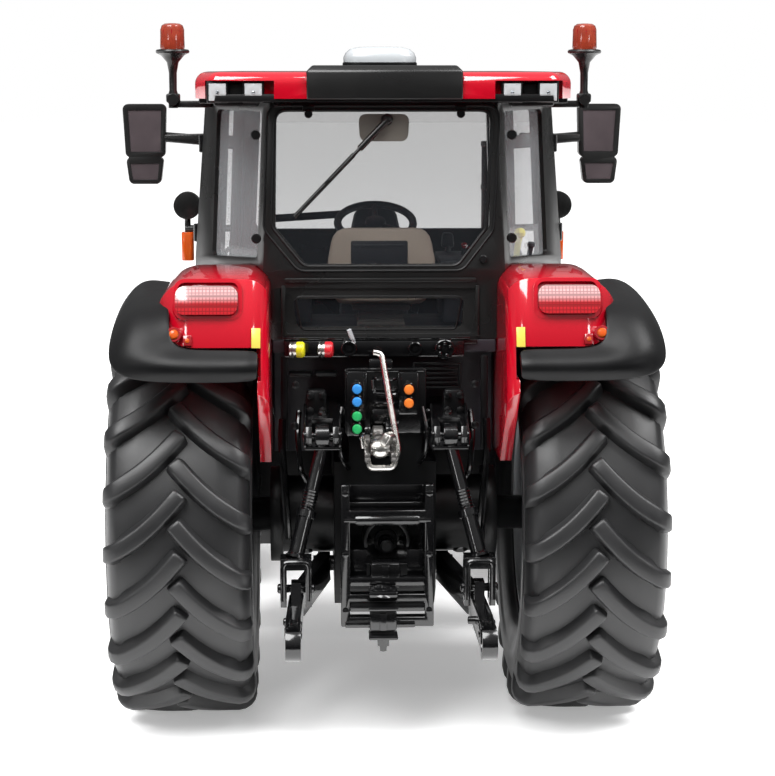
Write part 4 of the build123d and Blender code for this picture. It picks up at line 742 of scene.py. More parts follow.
# the flare: a ribbon of rungs from the front of the arch, over the tyre and down round the lamp face,
# each rung bowed outwards
flareRungs = [((27.6, 12.6, 52.9), (32.6, 12.2, 51.6)), ((27.0, 4.0, 55.9), (32.6, 4.0, 54.2)),
              ((26.8, -7.0, 56.6), (32.6, -7.0, 54.6)),
              ((26.6, -15.5, 56.2), (32.8, -15.5, 53.6)), ((26.2, -20.4, 55.2), (33.2, -20.0, 51.8)),
              ((26.0, -22.6, 53.3), (33.35, -22.6, 49.9)), ((25.9, -23.5, 51.6), (33.0, -24.0, 48.4)),
              ((25.0, -23.9, 50.8), (31.6, -24.8, 47.3)), ((23.4, -24.2, 50.45), (29.0, -25.2, 46.75)),
              ((20.0, -24.3, 50.4), (24.0, -25.3, 46.55)), ((15.5, -24.3, 50.4), (15.6, -25.2, 46.6))]


def flareForm():
    across = 6
    bpy.ops.object.select_all(action="DESELECT")
    bpy.ops.mesh.primitive_grid_add(x_subdivisions=across, y_subdivisions=len(flareRungs) - 1)
    piece = bpy.context.object
    editOn(piece)
    mesh = bmesh.from_edit_mesh(piece.data)
    places = sorted(mesh.verts, key=lambda vert: (round(vert.co.y, 4), round(vert.co.x, 4)))
    for k, vert in enumerate(places):
        rung, share = k // (across + 1), k % (across + 1) / across
        inner, outer = [Vector(p) for p in flareRungs[rung]]
        nextRung, lastRung = flareRungs[min(rung + 1, len(flareRungs) - 1)], flareRungs[max(rung - 1, 0)]
        run = (Vector(nextRung[0]) + Vector(nextRung[1]) - Vector(lastRung[0]) - Vector(lastRung[1])) / 2
        out = (outer - inner).cross(run).normalized()
        bow = 1.25 * math.sin(math.pi * share ** 1.25)
        spot = inner.lerp(outer, share) + out * (bow if out.dot(Vector((0.5, -0.6, 0.6))) > 0 else -bow)
        vert.co = Vector((spot.x, spot.y + rearAxle.y, spot.z)) * mm
    bmesh.update_edit_mesh(piece.data)
    bpy.ops.mesh.select_all(action="SELECT")
    bpy.ops.mesh.normals_make_consistent(inside=False)
    editOff()
    middle = piece.data.polygons[len(piece.data.polygons) // 2]
    if middle.normal.dot(Vector((0.5, -0.6, 0.6))) < 0:
        piece.data.flip_normals()
    addModifier(piece, "SUBSURF", levels=2, render_levels=2)
    addModifier(piece, "SOLIDIFY", thickness=0.9 * mm, offset=-1)
    addModifier(piece, "BEVEL", width=0.25 * mm, segments=2, limit_method="ANGLE",
                angle_limit=math.radians(50))
    return piece


flarePiece = joined(bothSides([flareForm()]), "flare_ribbons", "blackAbs", "tractor", 50)
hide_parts("flares")
print("fender details done")


# the cab's back panel stands upright to the knee and leans forward above it
kneeZ, cabLean = 58.0, math.tan(math.radians(4.2))
panelY = rearAxle.y - 8.0


def onBack(x, z, out=0.0):
    # a place on the outer face of the cab's back, at a height out over it
    return Vector((x, panelY + max(z - kneeZ, 0) * cabLean - out, z))


def rounded(points, radius, sides=4):
    # the outline's corners cut back by the radius and bridged by short arcs
    outline = []
    for k, here in enumerate(points):
        here = Vector(here)
        before, after = Vector(points[k - 1]), Vector(points[(k + 1) % len(points)])
        a, b = (before - here).normalized(), (after - here).normalized()
        reach = min(radius / math.tan(a.angle(b) / 2), 0.45 * (before - here).length,
                    0.45 * (after - here).length)
        start, end = here + a * reach, here + b * reach
        for step in range(sides + 1):
            t = step / sides
            outline.append(start * (1 - t) ** 2 + here * (2 * t * (1 - t)) + end * t ** 2)
    return outline


def sealRing(points, radius, thick, place):
    # a rubber seal: a round bar run once round an outline laid on a surface
    ring = [place(p.x, p.y) for p in rounded(points, radius)]
    curve = bpy.data.curves.new("seal", "CURVE")
    curve.dimensions = "3D"
    curve.bevel_depth = thick * mm
    curve.bevel_resolution = 2
    spline = curve.splines.new("POLY")
    spline.points.add(len(ring) - 1)
    for point, at in zip(spline.points, ring):
        point.co = (*(at * mm), 1)
    spline.use_cyclic_u = True
    piece = bpy.data.objects.new("seal", curve)
    bpy.context.collection.objects.link(piece)
    fresh(piece)
    bpy.ops.object.convert(target="MESH")
    return bpy.context.object


rearGlass = [(-13.6, 78.1), (-14.1, 63.6), (-10.1, 58.7), (9.2, 58.7), (12.8, 63.4), (13.6, 78.1)]
hatchFrame = [(x * 1.07, 68.5 + (z - 68.5) * 1.055) for x, z in rearGlass]
lowGlass = [(-11.2, 54.9), (-10.4, 50.7), (9.0, 50.7), (9.8, 54.9)]
seals = [sealRing(rearGlass, 1.6, 0.24, lambda x, z: onBack(x, z, -0.15)),
         sealRing(hatchFrame, 1.8, 0.16, lambda x, z: onBack(x, z, 0.0)),
         sealRing(lowGlass, 0.6, 0.16, lambda x, z: onBack(x, z, -0.45))]
joined(seals, "rear_glass_seals", "blackAbs", "tractor")

# wiper: cover plate inside the glass, pivot, arm and blade
cover = slab(rounded([(-3.2, 77.6), (-3.0, 74.2), (3.0, 74.2), (3.2, 77.6)], 1.0), panelY + 1.55,
             panelY + 1.85, 0.08, "back")
pivot = turned([(-0.3, 0.75), (0.5, 0.75), (0.75, 0.6), (0.9, 0.35)], onBack(0.4, 76.9, -0.4), (0, -1, 0.07),
               18)
armFoot, armEnd = onBack(0.4, 76.9, 0.45), onBack(-11.2, 64.9, 0.15)


def along(share, out=0.0):
    return armFoot.lerp(armEnd, share) + Vector((0, -out, 0))


wiperParts = [pivot, pipe([along(0.0), along(0.2, 0.25), along(0.45, 0.25), along(0.62, 0.1)], 0.22),
              pipe([along(0.02, 0.1), along(0.18, 0.3), along(0.3, 0.25)], 0.42),
              pipe([along(0.36, -0.1), along(0.6, 0.0), along(0.8, -0.05), along(1.0, -0.1)], 0.3),
              block((0.5, 0.45, 1.6), along(0.62, 0.02), 0.1, (1, 1), tuple(armEnd - armFoot))]
joined(wiperParts, "rear_wiper", "cabBlack", "tractor")

# round hinge pads and latches of the rear hatch and the quarter windows
pads = [turned([(-0.5, 0.62), (0.35, 0.62), (0.5, 0.5)], onBack(side * 16.0, z, 0.0), (0, -1, 0.05), 18)
        for side in (-1, 1) for z in (62.2, 75.0)]
pads += [turned([(-0.3, 0.52), (0.3, 0.52), (0.42, 0.4)], onBack(x, z, 0.1), (0, -1, 0.05), 16)
         for x, z in ((12.4, 59.6), (-9.4, 77.6), (9.6, 77.6))]
pads += [block((1.5, 0.5, 0.7), onBack(x, 78.3, 0.05), 0.12) for x in (-9.4, 9.6)]
joined(pads, "hatch_fittings", "blackAbs", "tractor")

# panel lines of the back: a raised frame round the low window and a step above the coupler row
panelBars = [block((24.0, 0.35, 0.5), onBack(-0.5, 57.0, 0.05), 0.1),
             block((24.4, 0.5, 0.6), onBack(-0.5, 49.2, 0.1), 0.14)]
panelBars += [block((0.5, 0.35, 6.4), onBack(side * 12.2 - 0.5, 53.1, 0.05), 0.1) for side in (-1, 1)]
joined(panelBars, "back_panel_bars", "cabBlack", "tractor")
joined([cover], "wiper_motor_cover", "seatGrey", "tractor")
# a tapered foot where each mirror's arm meets the cab
joined(bothSides([slab([(30.6, 73.6), (21.6, 73.8), (21.6, 71.7), (30.6, 72.5)], rearAxle.y + 40.6,
                       rearAxle.y + 41.7, 0.25, "back")]),
       "mirror_arm_feet", "cabBlack", "tractor")
print("cab back done")


def roofLamp(x, y, z, facing):
    # a square work lamp: hooded black body, silver bowl with a bulb, clear front
    toward = (0, facing, -0.06)
    body = block((2.55, 2.55, 2.2), (x, y - facing * 1.0, z), 0.28, (1.0, 1.0), toward)
    rim = block((2.75, 2.75, 0.5), (x, y - facing * 0.15, z), 0.18, (0.94, 0.94), toward)
    bowl = turned([(0.0, 1.05), (0.14, 1.05), (0.12, 0.8), (-0.25, 0.45), (-0.3, 0.2)],
                  (x, y + facing * 0.06, z), toward, 20)
    bulb = turned([(-0.2, 0.26), (0.15, 0.26), (0.3, 0.18), (0.36, 0.06)], (x, y + facing * 0.08, z), toward,
                  14)
    front = block((2.15, 2.15, 0.12), (x, y + facing * 0.26, z), 0.05, (0.95, 0.95), toward)
    return {"body": [body, rim], "bowl": [bowl, bulb], "front": [front]}


lampNode = [v.co / mm for v in nodes["work_lamps"].data.vertices]
lampKits = {"body": [], "bowl": [], "front": []}
for facing, edge in ((-1, min(v.y for v in lampNode)), (1, max(v.y for v in lampNode))):
    near = [v for v in lampNode if abs(v.y - edge) < 0.4]
    levels = (min(v.z for v in near) + max(v.z for v in near)) / 2
    for x in ((-20.55, -16.15, 15.75, 20.2) if facing < 0 else (-20.2, -16.0, 16.0, 20.2)):
        for key, made in roofLamp(x, edge - facing * 0.35, levels, facing).items():
            lampKits[key] += made
bodyPiece = joined(lampKits["body"], "work_lamp_bodies", "blackAbs", "tractor")
joined(lampKits["bowl"], "work_lamp_bowls", "lampBowl", "tractor")
joined(lampKits["front"], "work_lamp_fronts", "clearLens", "tractor")
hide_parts("work_lamps")

# under the roof's edge: a black gutter behind the lamps, with the ends that carry them
gutter = [block((42.0, 1.3, 1.0), (0, rearAxle.y - 8.9, 79.6), 0.2),
          block((46.0, 4.5, 0.8), (0, rearAxle.y - 4.0, 79.3), 0.2)]
gutter += [block((5.6, 1.8, 2.9), (side * 18.3, rearAxle.y - 7.6, 80.0), 0.4) for side in (-1, 1)]
joined(gutter, "roof_gutter", "blackAbs", "tractor")

# the dome: a crowned cap over a seated base with a dark joint
domeMiddle = Vector((0, rearAxle.y + 10.0, 0))


def domeRow(z, growX, growY):
    return [Vector((growX * math.copysign(abs(math.cos(a)) ** 0.62, math.cos(a)),
                    growY * math.copysign(abs(math.sin(a)) ** 0.62, math.sin(a)), z))
            for a in (2 * math.pi * k / 48 for k in range(48))]


def lofted(rows, at):
    # a closed form through rings of points: the first ring filled, then pulled up and set ring by ring
    bpy.ops.object.select_all(action="DESELECT")
    bpy.ops.mesh.primitive_circle_add(vertices=len(rows[0]), fill_type="NGON")
    piece = bpy.context.object
    editOn(piece)
    bpy.ops.mesh.select_all(action="SELECT")
    for k, row in enumerate(rows):
        if k:
            bpy.ops.mesh.extrude_region_move(TRANSFORM_OT_translate={"value": (0, 0, 0.001)})
        mesh = bmesh.from_edit_mesh(piece.data)
        ring = [vert for vert in mesh.verts if vert.select]
        ring.sort(key=lambda vert: math.atan2(vert.co.y, vert.co.x) % (2 * math.pi))
        for vert, place in zip(ring, row):
            vert.co = place
        bmesh.update_edit_mesh(piece.data)
    bpy.ops.mesh.select_all(action="SELECT")
    bpy.ops.mesh.normals_make_consistent(inside=False)
    editOff()
    piece.data.transform(Matrix.Translation(at * mm) @ Matrix.Diagonal((mm, mm, mm, 1)))
    return piece


domeBase = lofted([domeRow(83.2, 4.9, 3.2), domeRow(83.9, 4.9, 3.2), domeRow(84.05, 4.75, 3.05)], domeMiddle)
domeCap = lofted([domeRow(84.0, 4.78, 3.1), domeRow(84.6, 4.8, 3.12), domeRow(85.2, 4.55, 2.9),
                  domeRow(85.7, 4.0, 2.5), domeRow(85.95, 3.0, 1.8),
                  domeRow(86.02, 1.6, 0.9)], domeMiddle)
joined([domeBase], "roof_dome_base", "castGrey", "tractor")
domePiece = joined([domeCap], "roof_dome_cap", "domeWhite", "tractor", 50)
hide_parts("roof_dome")

# beacons: ribbed lens with a dark bulb holder inside, seated on a flared cup and a clamp
beaconAt = Vector((27.35, rearAxle.y + 12.0, 0))
lens = turned([(85.72, 1.58), (86.0, 1.62), (88.3, 1.56), (88.8, 1.4), (89.05, 1.0), (89.1, 0.4)], beaconAt,
              sides=32)
ribs = [pipe([beaconAt + Vector((1.45, 0, z)) for z in (86.1, 87.0, 88.3)], 0.13)]
ribs += [copied(ribs[0], Matrix.Translation(beaconAt * mm) @ Matrix.Rotation(math.radians(45 * k), 4, "Z")
                @ Matrix.Translation(-beaconAt * mm)) for k in range(1, 8)]
lensPiece = joined(bothSides([lens]), "beacon_domes", "beaconRed", "tractor")
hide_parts("beacon_lenses")
cores = [turned([(85.6, 1.0), (86.4, 1.0), (86.6, 0.5), (88.2, 0.5), (88.3, 0.3)], beaconAt, sides=16)]
joined(bothSides(cores + ribs), "beacon_cores", "lensRed", "tractor")
cups = [turned([(78.0, 0.62), (79.9, 0.62), (80.3, 0.5), (82.6, 0.52), (84.0, 0.78), (84.9, 1.55),
                (85.2, 2.18), (85.45, 2.25),
                (85.65, 2.1), (85.72, 1.7)], beaconAt, sides=32),
        turned([(-1.15, 0.75), (1.15, 0.75), (1.25, 0.6)], beaconAt + Vector((0, 0, 79.1)), (0, 1, 0), 20)]
cups += [block((1.8, 1.8, 1.2), beaconAt + Vector((0, 0, 79.3)), 0.25),
         block((4.6, 1.0, 0.9), beaconAt + Vector((-2.8, 0, 78.5)), 0.2)]
cupPiece = joined(bothSides(cups), "beacon_cups", "cabBlack", "tractor")
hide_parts("beacon_stalks")
print("roof details done")


def at(x, back, z):
    # a place given by its distance ahead of the rear axle
    return Vector((x, rearAxle.y + back, z))


def pad(size, middle, crown=0.28, lean=0):
    # a crowned cushion: its broad face swells and its sides pull in between the corners
    bpy.ops.object.select_all(action="DESELECT")
    bpy.ops.mesh.primitive_cube_add(size=1)
    piece = bpy.context.object
    piece.data.transform(Matrix.Diagonal((mm, mm, mm, 1)))
    editOn(piece)
    bpy.ops.mesh.select_all(action="SELECT")
    bpy.ops.mesh.subdivide(number_cuts=7)
    editOff()
    wide, deep, high = [s / 2 for s in size]

    def swell(x, y, z):
        u, v, w = 2 * x, 2 * y, 2 * z
        edge = (1 - u ** 4) * (1 - v ** 4)
        return (wide * u * (1 - 0.05 * (1 - v * v) - 0.12 * w * w),
                deep * v * (1 - 0.05 * (1 - u * u) - 0.12 * w * w),
                high * w * (1 - crown + crown * edge))

    shaped(piece, swell)
    addModifier(piece, "SUBSURF", levels=1, render_levels=1)
    piece.data.transform(Matrix.Translation(middle * mm) @ Matrix.Rotation(math.radians(lean), 4, "X"))
    return piece


# the seat: shell with rounded shoulders, a cushion, a back pad and a black panel behind
shellLine = rounded([(-6.8, 53.0), (6.8, 53.0), (7.0, 58.4), (6.2, 62.65), (-6.2, 62.65), (-7.0, 58.4)], 3.4)
shell = slab([(p.x, p.y) for p in shellLine], at(0, 2.6, 0).y, at(0, 4.3, 0).y, 0.45, "back")
cushions = [pad((12.4, 11.6, 2.9), at(0, 10.6, 53.5)), pad((10.4, 9.0, 1.9), at(0, 5.0, 58.0), 0.3, 90)]
cushions += [pad((1.9, 8.0, 1.5), at(side * 5.8, 8.6, 57.2), 0.2) for side in (-1, 1)]
seatPiece = joined([shell] + cushions, "seat_padding", "seatBeige", "tractor", 60)
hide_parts("seat")
mount = [block((7.6, 9.4, 0.7), at(0, 9.5, 52.0), 0.2), block((6.4, 8.4, 0.5), at(0, 9.5, 49.8), 0.15)]
mount += [block((6.2 - 0.3 * (k % 2), 8.2 - 0.3 * (k % 2), 0.42), at(0, 9.5, 50.2 + 0.38 * k),
                0.12) for k in range(4)]
mount += [pipe([at(side * 5.6, 6.0, 53.6), at(side * 5.8, 6.4, 55.4), at(side * 5.8, 7.0, 56.8)],
               0.35) for side in (-1, 1)]
joined(mount, "seat_mount", "seatGrey", "tractor")

# steering wheel: a thick rim on three dished spokes, with a capped hub and a boot round the column
hub, foot = at(0, 29.6, 61.4), at(0, 35.6, 56.0)
axis = Vector((0, -0.42, 0.9)).normalized()
lieDown = axis.to_track_quat("Z", "Y").to_matrix()


def onWheel(turn, radius, lift=0.0):
    return hub + lieDown @ Vector((radius * math.cos(math.radians(turn)),
                                   radius * math.sin(math.radians(turn)), lift))


wheelParts = [pipe([onWheel(20 * k, 5.5) for k in range(18)], 0.56, 3, closed=True)]
wheelParts += [pipe([onWheel(turn, 0.8, -0.2), onWheel(turn, 3.0, -0.25), onWheel(turn, 5.5)],
                    0.42) for turn in (90, 210, 330)]
wheelParts += [turned([(-0.8, 1.0), (0.0, 1.5), (0.4, 1.45), (0.6, 1.0)], hub, axis), pipe([foot, hub], 0.7),
               turned([(0, 1.3), (1.2, 1.15), (1.4, 0.85), (2.2, 0.8)], foot, axis)]
wheelPiece = joined(wheelParts, "steering_wheel_rim", "cabinGrey", "tractor")
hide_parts("steering_wheel")

# consoles beside the seat, with the joystick and small levers; the instrument hood behind the wheel
inside = [block((7.4, 0.5, 3.4), at(-0.3, 2.65, 59.35), 0.2),
          block((6.6, 0.4, 0.35), at(-0.3, 2.45, 60.4), 0.1),
          block((4.4, 14.5, 7.6), at(10.3, 13.0, 53.6), 0.6, (0.9, 0.94)),
          block((3.0, 12.0, 5.6), at(-10.6, 12.5, 52.6), 0.5, (0.9, 0.94)),
          block((4.9, 15.0, 0.9), at(10.3, 13.0, 57.7), 0.3),
          block((9.2, 3.0, 2.2), at(0, 36.6, 58.4), 0.7, (0.8, 0.7)),
          block((7.6, 2.4, 4.0), at(0.2, 37.0, 61.2), 1.1, (0.75, 0.8)),
          pipe([at(-15.0, 30, 62.0), at(-5.0, 33, 62.4)], 0.55),
          pipe([at(9.6, 19.0, 57.8), at(9.9, 19.6, 58.8), at(9.7, 20.0, 59.2)], 0.42),
          block((1.9, 1.5, 2.1), at(9.7, 20, 59.7), 0.45, (0.8, 0.9)),
          pipe([at(11.4, 14.0, 57.8), at(11.6, 14.2, 59.2)], 0.3),
          pipe([at(12.0, 11.0, 57.8), at(12.2, 11.2, 58.9)], 0.3),
          pipe([at(-10.4, 15.0, 55.2), at(-10.6, 15.4, 57.6)], 0.32),
          pipe([at(19.3, 3.5, 58.6), at(19.6, 3.4, 60.2)], 0.35),
          turned([(0, 0.3), (0.2, 0.5), (0.6, 0.5), (0.8, 0.3)], at(19.6, 3.4, 60.0))]
joined(inside, "cab_consoles", "cabinGrey", "tractor")
handle = [turned([(0, 0.35), (0.25, 0.68), (0.7, 0.78), (1.1, 0.62), (1.3, 0.3)], at(18.1, 3.4, 61.3)),
          pipe([at(17.7, 3.4, 59.0), at(17.8, 3.4, 60.2), at(18.1, 3.4, 61.6)], 0.42)]
joined(handle, "throttle_handle", "capYellow", "tractor")
joined([turned([(0, 0.3), (0.2, 0.42), (0.6, 0.42), (0.75, 0.25)], onPlace, (0, -0.5, 1))
        for onPlace in (at(11.6, 14.2, 59.1), at(12.2, 11.2, 58.8))], "lever_knobs", "lensRed", "tractor")
print("cab interior done")


def bent(points, corner, steps=4):
    # a wire's route: straight runs joined by short arcs
    route = [Vector(points[0])]
    for before, here, after in zip(points, points[1:], points[2:]):
        here = Vector(here)
        start = here + (Vector(before) - here).normalized() * corner
        end = here + (Vector(after) - here).normalized() * corner
        route += [start * (1 - t) ** 2 + here * (2 * t * (1 - t)) + end * t ** 2
                  for t in (k / steps for k in range(steps + 1))]
    return route + [Vector(points[-1])]


def wire(points, radius, corner=0.5, sides=3):
    curve = bpy.data.curves.new("wire", "CURVE")
    curve.dimensions = "3D"
    curve.bevel_depth = radius * mm
    curve.bevel_resolution = sides
    curve.use_fill_caps = True
    route = bent(points, corner)
    spline = curve.splines.new("POLY")
    spline.points.add(len(route) - 1)
    for point, place in zip(spline.points, route):
        point.co = (*(place * mm), 1)
    piece = bpy.data.objects.new("wire", curve)
    bpy.context.collection.objects.link(piece)
    fresh(piece)
    bpy.ops.object.convert(target="MESH")
    return tidied(bpy.context.object, 0.0005)


def ring(place, radius, depth=0.5, toward=(0, -1, 0), sides=18):
    # an open socket: a raised collar with a sunk, stepped bore
    return turned([(-0.2, radius), (depth, radius), (depth + 0.1, radius * 0.9), (depth + 0.1, radius * 0.72),
                   (depth - 0.25, radius * 0.66),
                   (depth - 0.25, radius * 0.42), (depth - 0.05, radius * 0.38)], place, toward, sides)


# the row under the back panel: two air couplings that lie across, three sockets and a lever
rowZ = 48.5
rail = [block((22.6, 0.9, 2.1), at(-1.3, -8.6, 48.4), 0.2),
        block((23.6, 0.7, 0.3), at(-1.0, -8.6, 49.75), 0.1),
        ring(at(-4.5, -9.0, 48.6), 1.0, 1.1), ring(at(3.8, -9.0, rowZ), 0.9, 0.9),
        ring(at(7.5, -9.0, rowZ), 1.25, 1.2, sides=24),
        block((1.5, 0.7, 0.35), at(7.5, -9.9, 49.7), 0.12), block((1.4, 0.6, 0.3), at(-4.5, -9.8, 49.7), 0.1)]
rail += [turned([(0, 0.2), (0.5, 0.2), (0.55, 0.12)],
                at(7.5 + 0.75 * math.cos(a), -10.1, rowZ + 0.75 * math.sin(a)), (0, -1, 0), 8)
         for a in (0.5, 1.6, 2.7, 3.8, 5.0)]
rail += [block((1.5, 1.4, 1.5), at(x, -9.3, rowZ), 0.25) for x in (-11.1, -7.6)]
rowPiece = joined(rail, "socket_row", "linkageBlack", "tractor")
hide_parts("air_couplings")
barrel = turned([(0, 0.7), (0.12, 0.95), (0.35, 0.95), (0.45, 0.78), (0.6, 0.95), (0.95, 0.95)],
                at(-11.95, -9.9, rowZ), (1, -0.12, 0), 20)
joined([barrel, copied(barrel, Matrix.Translation((3.6 * mm, 0, 0)))], "air_coupling_barrels", "nickelPlate",
       "tractor")
joined([turned([(0, 0.98), (0.7, 1.02), (0.95, 0.85), (1.0, 0.5)], at(-11.0, -10.0, rowZ), (1, -0.12, 0),
               20)], "yellow_coupling_cap",
       "capYellow", "tractor")
joined([turned([(0, 0.98), (0.7, 1.02), (0.95, 0.85), (1.0, 0.5)], at(-7.45, -10.0, rowZ), (1, -0.12, 0),
               20)], "red_coupling_cap",
       "capRed", "tractor")
joined([wire([at(-3.9, -9.6, 49.3), at(-4.15, -10.0, 50.0), at(-4.5, -10.2, 51.0)], 0.3, 0.3)], "row_lever",
       "domeWhite", "tractor")

# hydraulic couplers: a stepped block with collars, dust caps by colour, and the cast bracket between the
# two columns
capRows = {"capBlue": [(-3.6, 44.2), (-3.6, 42.6)], "capGreen": [(-3.6, 40.8), (-3.6, 39.2)],
           "capOrange": [(2.8, 44.1), (2.8, 42.4)]}
bank = [block((2.6, 1.6, 8.2), at(-3.6, -11.9, 42.0), 0.25),
        block((2.6, 1.6, 5.4), at(2.8, -11.9, 43.3), 0.25),
        block((10.2, 0.9, 8.2), at(0, -11.4, 42.2), 0.2), block((9.6, 1.3, 0.5), at(0, -11.8, 46.2), 0.15)]
for finish, places in capRows.items():
    caps = []
    for x, z in places:
        bank += [turned([(0, 0.78), (1.5, 0.78), (1.6, 0.7), (2.0, 0.7)], at(x, -12.6, z), (0, -1, 0), 18),
                 block((0.5, 1.2, 0.3), at(x, -13.3, z + 0.8), 0.08)]
        caps.append(turned([(0, 0.6), (0.45, 0.6), (0.62, 0.48), (0.66, 0.25)], at(x, -14.45, z), (0, -1, 0),
                           18))
    joined(caps, finish + "_couplers", finish, "tractor")
for z, wide in ((45.2, 1.5), (43.9, 1.7), (42.3, 1.6)):
    bank.append(wire([at(-wide, -12.2, z), at(-wide + 0.3, -13.0, z), at(wide - 0.6, -13.0, z - 0.1),
                      at(wide, -12.2, z)], 0.2, 0.3))
bank += [wire([at(-1.6, -12.4, 44.8), at(-1.5, -13.3, 43.4), at(1.2, -13.3, 43.2), at(1.6, -12.4, 43.4)],
              0.26, 0.5),
         block((3.4, 1.4, 2.0), at(0, -12.1, 40.4), 0.3), block((3.0, 1.0, 1.3), at(-0.6, -12.0, 46.9), 0.25)]
bracket = slab(rounded([(at(0, -11.2, 0).y, 34.6), (at(0, -11.2, 0).y, 40.4), (at(0, -14.8, 0).y, 39.4),
                        (at(0, -14.8, 0).y, 37.0)], 0.5),
               -2.7, -1.95, 0.14)
bank += [bracket, copied(bracket, Matrix.Translation((2.65 * mm, 0, 0))),
         turned([(-2.4, 0.5), (-2.3, 0.75), (-1.95, 0.75), (-1.95, 0.5), (1.95, 0.5), (1.95, 0.75),
                 (2.3, 0.75), (2.4, 0.5)],
                at(-1.0, -13.6, 38.2), (1, 0, 0), 14)]
bankPiece = joined(bank, "coupler_bank", "linkageBlack", "tractor")
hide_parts("couplers")

# castings and ducts on the panel to each side: recessed covers on the left, a louvred duct on the right,
# hoses below
sidePanels = [block((3.0, 0.5, 2.6), at(x, -8.3, 45.2), 0.2, (0.9, 0.9), (0, -1, 0)) for x in (-10.6, -7.4)]
sidePanels += [block((5.2, 0.25, 0.28), at(6.6, -8.5, z), 0.06) for z in (44.0, 44.6, 45.2, 45.8)]
sidePanels += [block((5.9, 0.6, 0.3), at(6.6, -8.5, z), 0.08)
               for z in (43.4, 46.5)] + [block((0.3, 0.6, 3.2), at(x, -8.5, 45.0), 0.08) for x in (3.7, 9.5)]
sidePanels += [block((0.9, 0.6, 12.0), at(side * 12.6, -8.3, 41.5), 0.2) for side in (-1, 1)]
sidePanels += [block((3.0, 1.6, 3.4), at(side * 8.6, -10.0, 41.8), 0.4, (0.8, 0.8)) for side in (-1, 1)]
sidePanels += [turned([(0, 0.5), (0.6, 0.5), (0.7, 0.3)], at(side * x, -10.6, z), (0, -1, 0), 6)
               for side in (-1, 1) for x,
               z in ((7.8, 42.8), (9.4, 42.8), (7.8, 40.9), (9.4, 40.9), (11.2, 44.2), (11.3, 39.0))]
joined(sidePanels, "rear_panel_castings", "castGrey", "tractor")
hoses = [wire([at(side * 12.9, -8.6, 39.5), at(side * 13.0, -9.0, 36.0), at(side * 12.6, -8.0, 30.0),
               at(side * 12.3, -6.0, 23.5)], 0.5, 1.2)
         for side in (-1, 1)]
hoses += [wire([at(side * 10.8, -9.0, 40.5), at(side * 11.0, -11.2, 38.0), at(side * 10.6, -11.0, 33.0),
                at(side * 9.4, -9.4, 31.0)], 0.36, 1.2)
          for side in (-1, 1)]
hoses += [wire([at(-5.4, -11.6, 41.4), at(-5.9, -13.0, 39.0), at(-5.6, -12.6, 35.2), at(-4.6, -11.4, 33.6)],
               0.3, 1.0),
          wire([at(4.6, -11.6, 41.4), at(5.2, -13.2, 38.6), at(5.0, -12.6, 35.6), at(4.2, -11.4, 34.2)], 0.3,
               1.0)]
joined(hoses, "brake_pipes", "linkageBlack", "tractor")
print("rear row and couplers done")


# top link: eye, threaded tube, hooked claw round a ball, and the bent wire that lifts it
linkEye = at(-1.0, -13.6, 38.2)
linkEnd = at(-1.0, -22.6, 38.2)
threads = [(0.9 + 0.22 * k, 0.62 if k % 2 else 0.78) for k in range(14)]
tube = [turned(threads + [(4.0, 0.6), (4.1, 0.95), (5.9, 0.95), (6.0, 0.7), (7.2, 0.7)], linkEye, (0, -1, 0),
               18),
        turned([(-0.7, 1.05), (-0.55, 1.25), (0.55, 1.25), (0.7, 1.05)], linkEye, (1, 0, 0), 20)]
jawLine = [(1.9, 0.9), (1.2, 1.75), (0.0, 2.0), (-1.2, 1.75), (-1.9, 1.0), (-1.75, 0.3), (-1.0, 0.85),
           (0.0, 1.1), (0.85, 0.75), (1.1, 0.0),
           (0.85, -0.75), (0.0, -1.1), (-0.6, -0.95), (-1.0, -1.5), (0.0, -2.0), (1.3, -1.7), (2.1, -0.7)]
jaw = slab([(linkEnd.y + back * 0.95, linkEnd.z - up * 0.85) for back, up in jawLine], linkEnd.x - 1.9,
           linkEnd.x - 1.25, 0.12)
claw = [jaw, copied(jaw, Matrix.Translation((3.15 * mm, 0, 0))),
        block((3.4, 1.5, 1.3), linkEnd + Vector((0, 2.0, 0.1)), 0.3)]
joined(tube + claw, "top_link_claw", "linkageSteel", "top_link")
ball = turned([(-1.2, 0.55), (-1.1, 0.8), (-0.6, 1.1), (0, 1.22), (0.6, 1.1), (1.1, 0.8), (1.2, 0.55)],
              linkEnd, (1, 0, 0), 24)
latch = block((1.9, 1.1, 1.5), linkEnd + Vector((0.9, -0.9, 1.35)), 0.25, (0.8, 0.9), (0.45, -0.3, 1))
finger = turned([(0, 0.32), (1.3, 0.3), (1.5, 0.2)], linkEnd + Vector((-2.0, -0.5, 0.2)), (-0.1, -0.2, 1), 12)
pullRoute = [(-2.6, -22.7, 37.4), (-2.3, -23.0, 35.9), (0.55, -23.0, 35.9), (1.15, -22.8, 38.0),
             (-0.7, -18.6, 49.1), (-1.7, -18.6, 49.3)]
pull = wire([at(*point) for point in pullRoute], 0.36, 0.55)
nickel = joined([ball, latch, finger, pull], "top_link_pull", "nickelPlate", "top_link")
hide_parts("top_link")

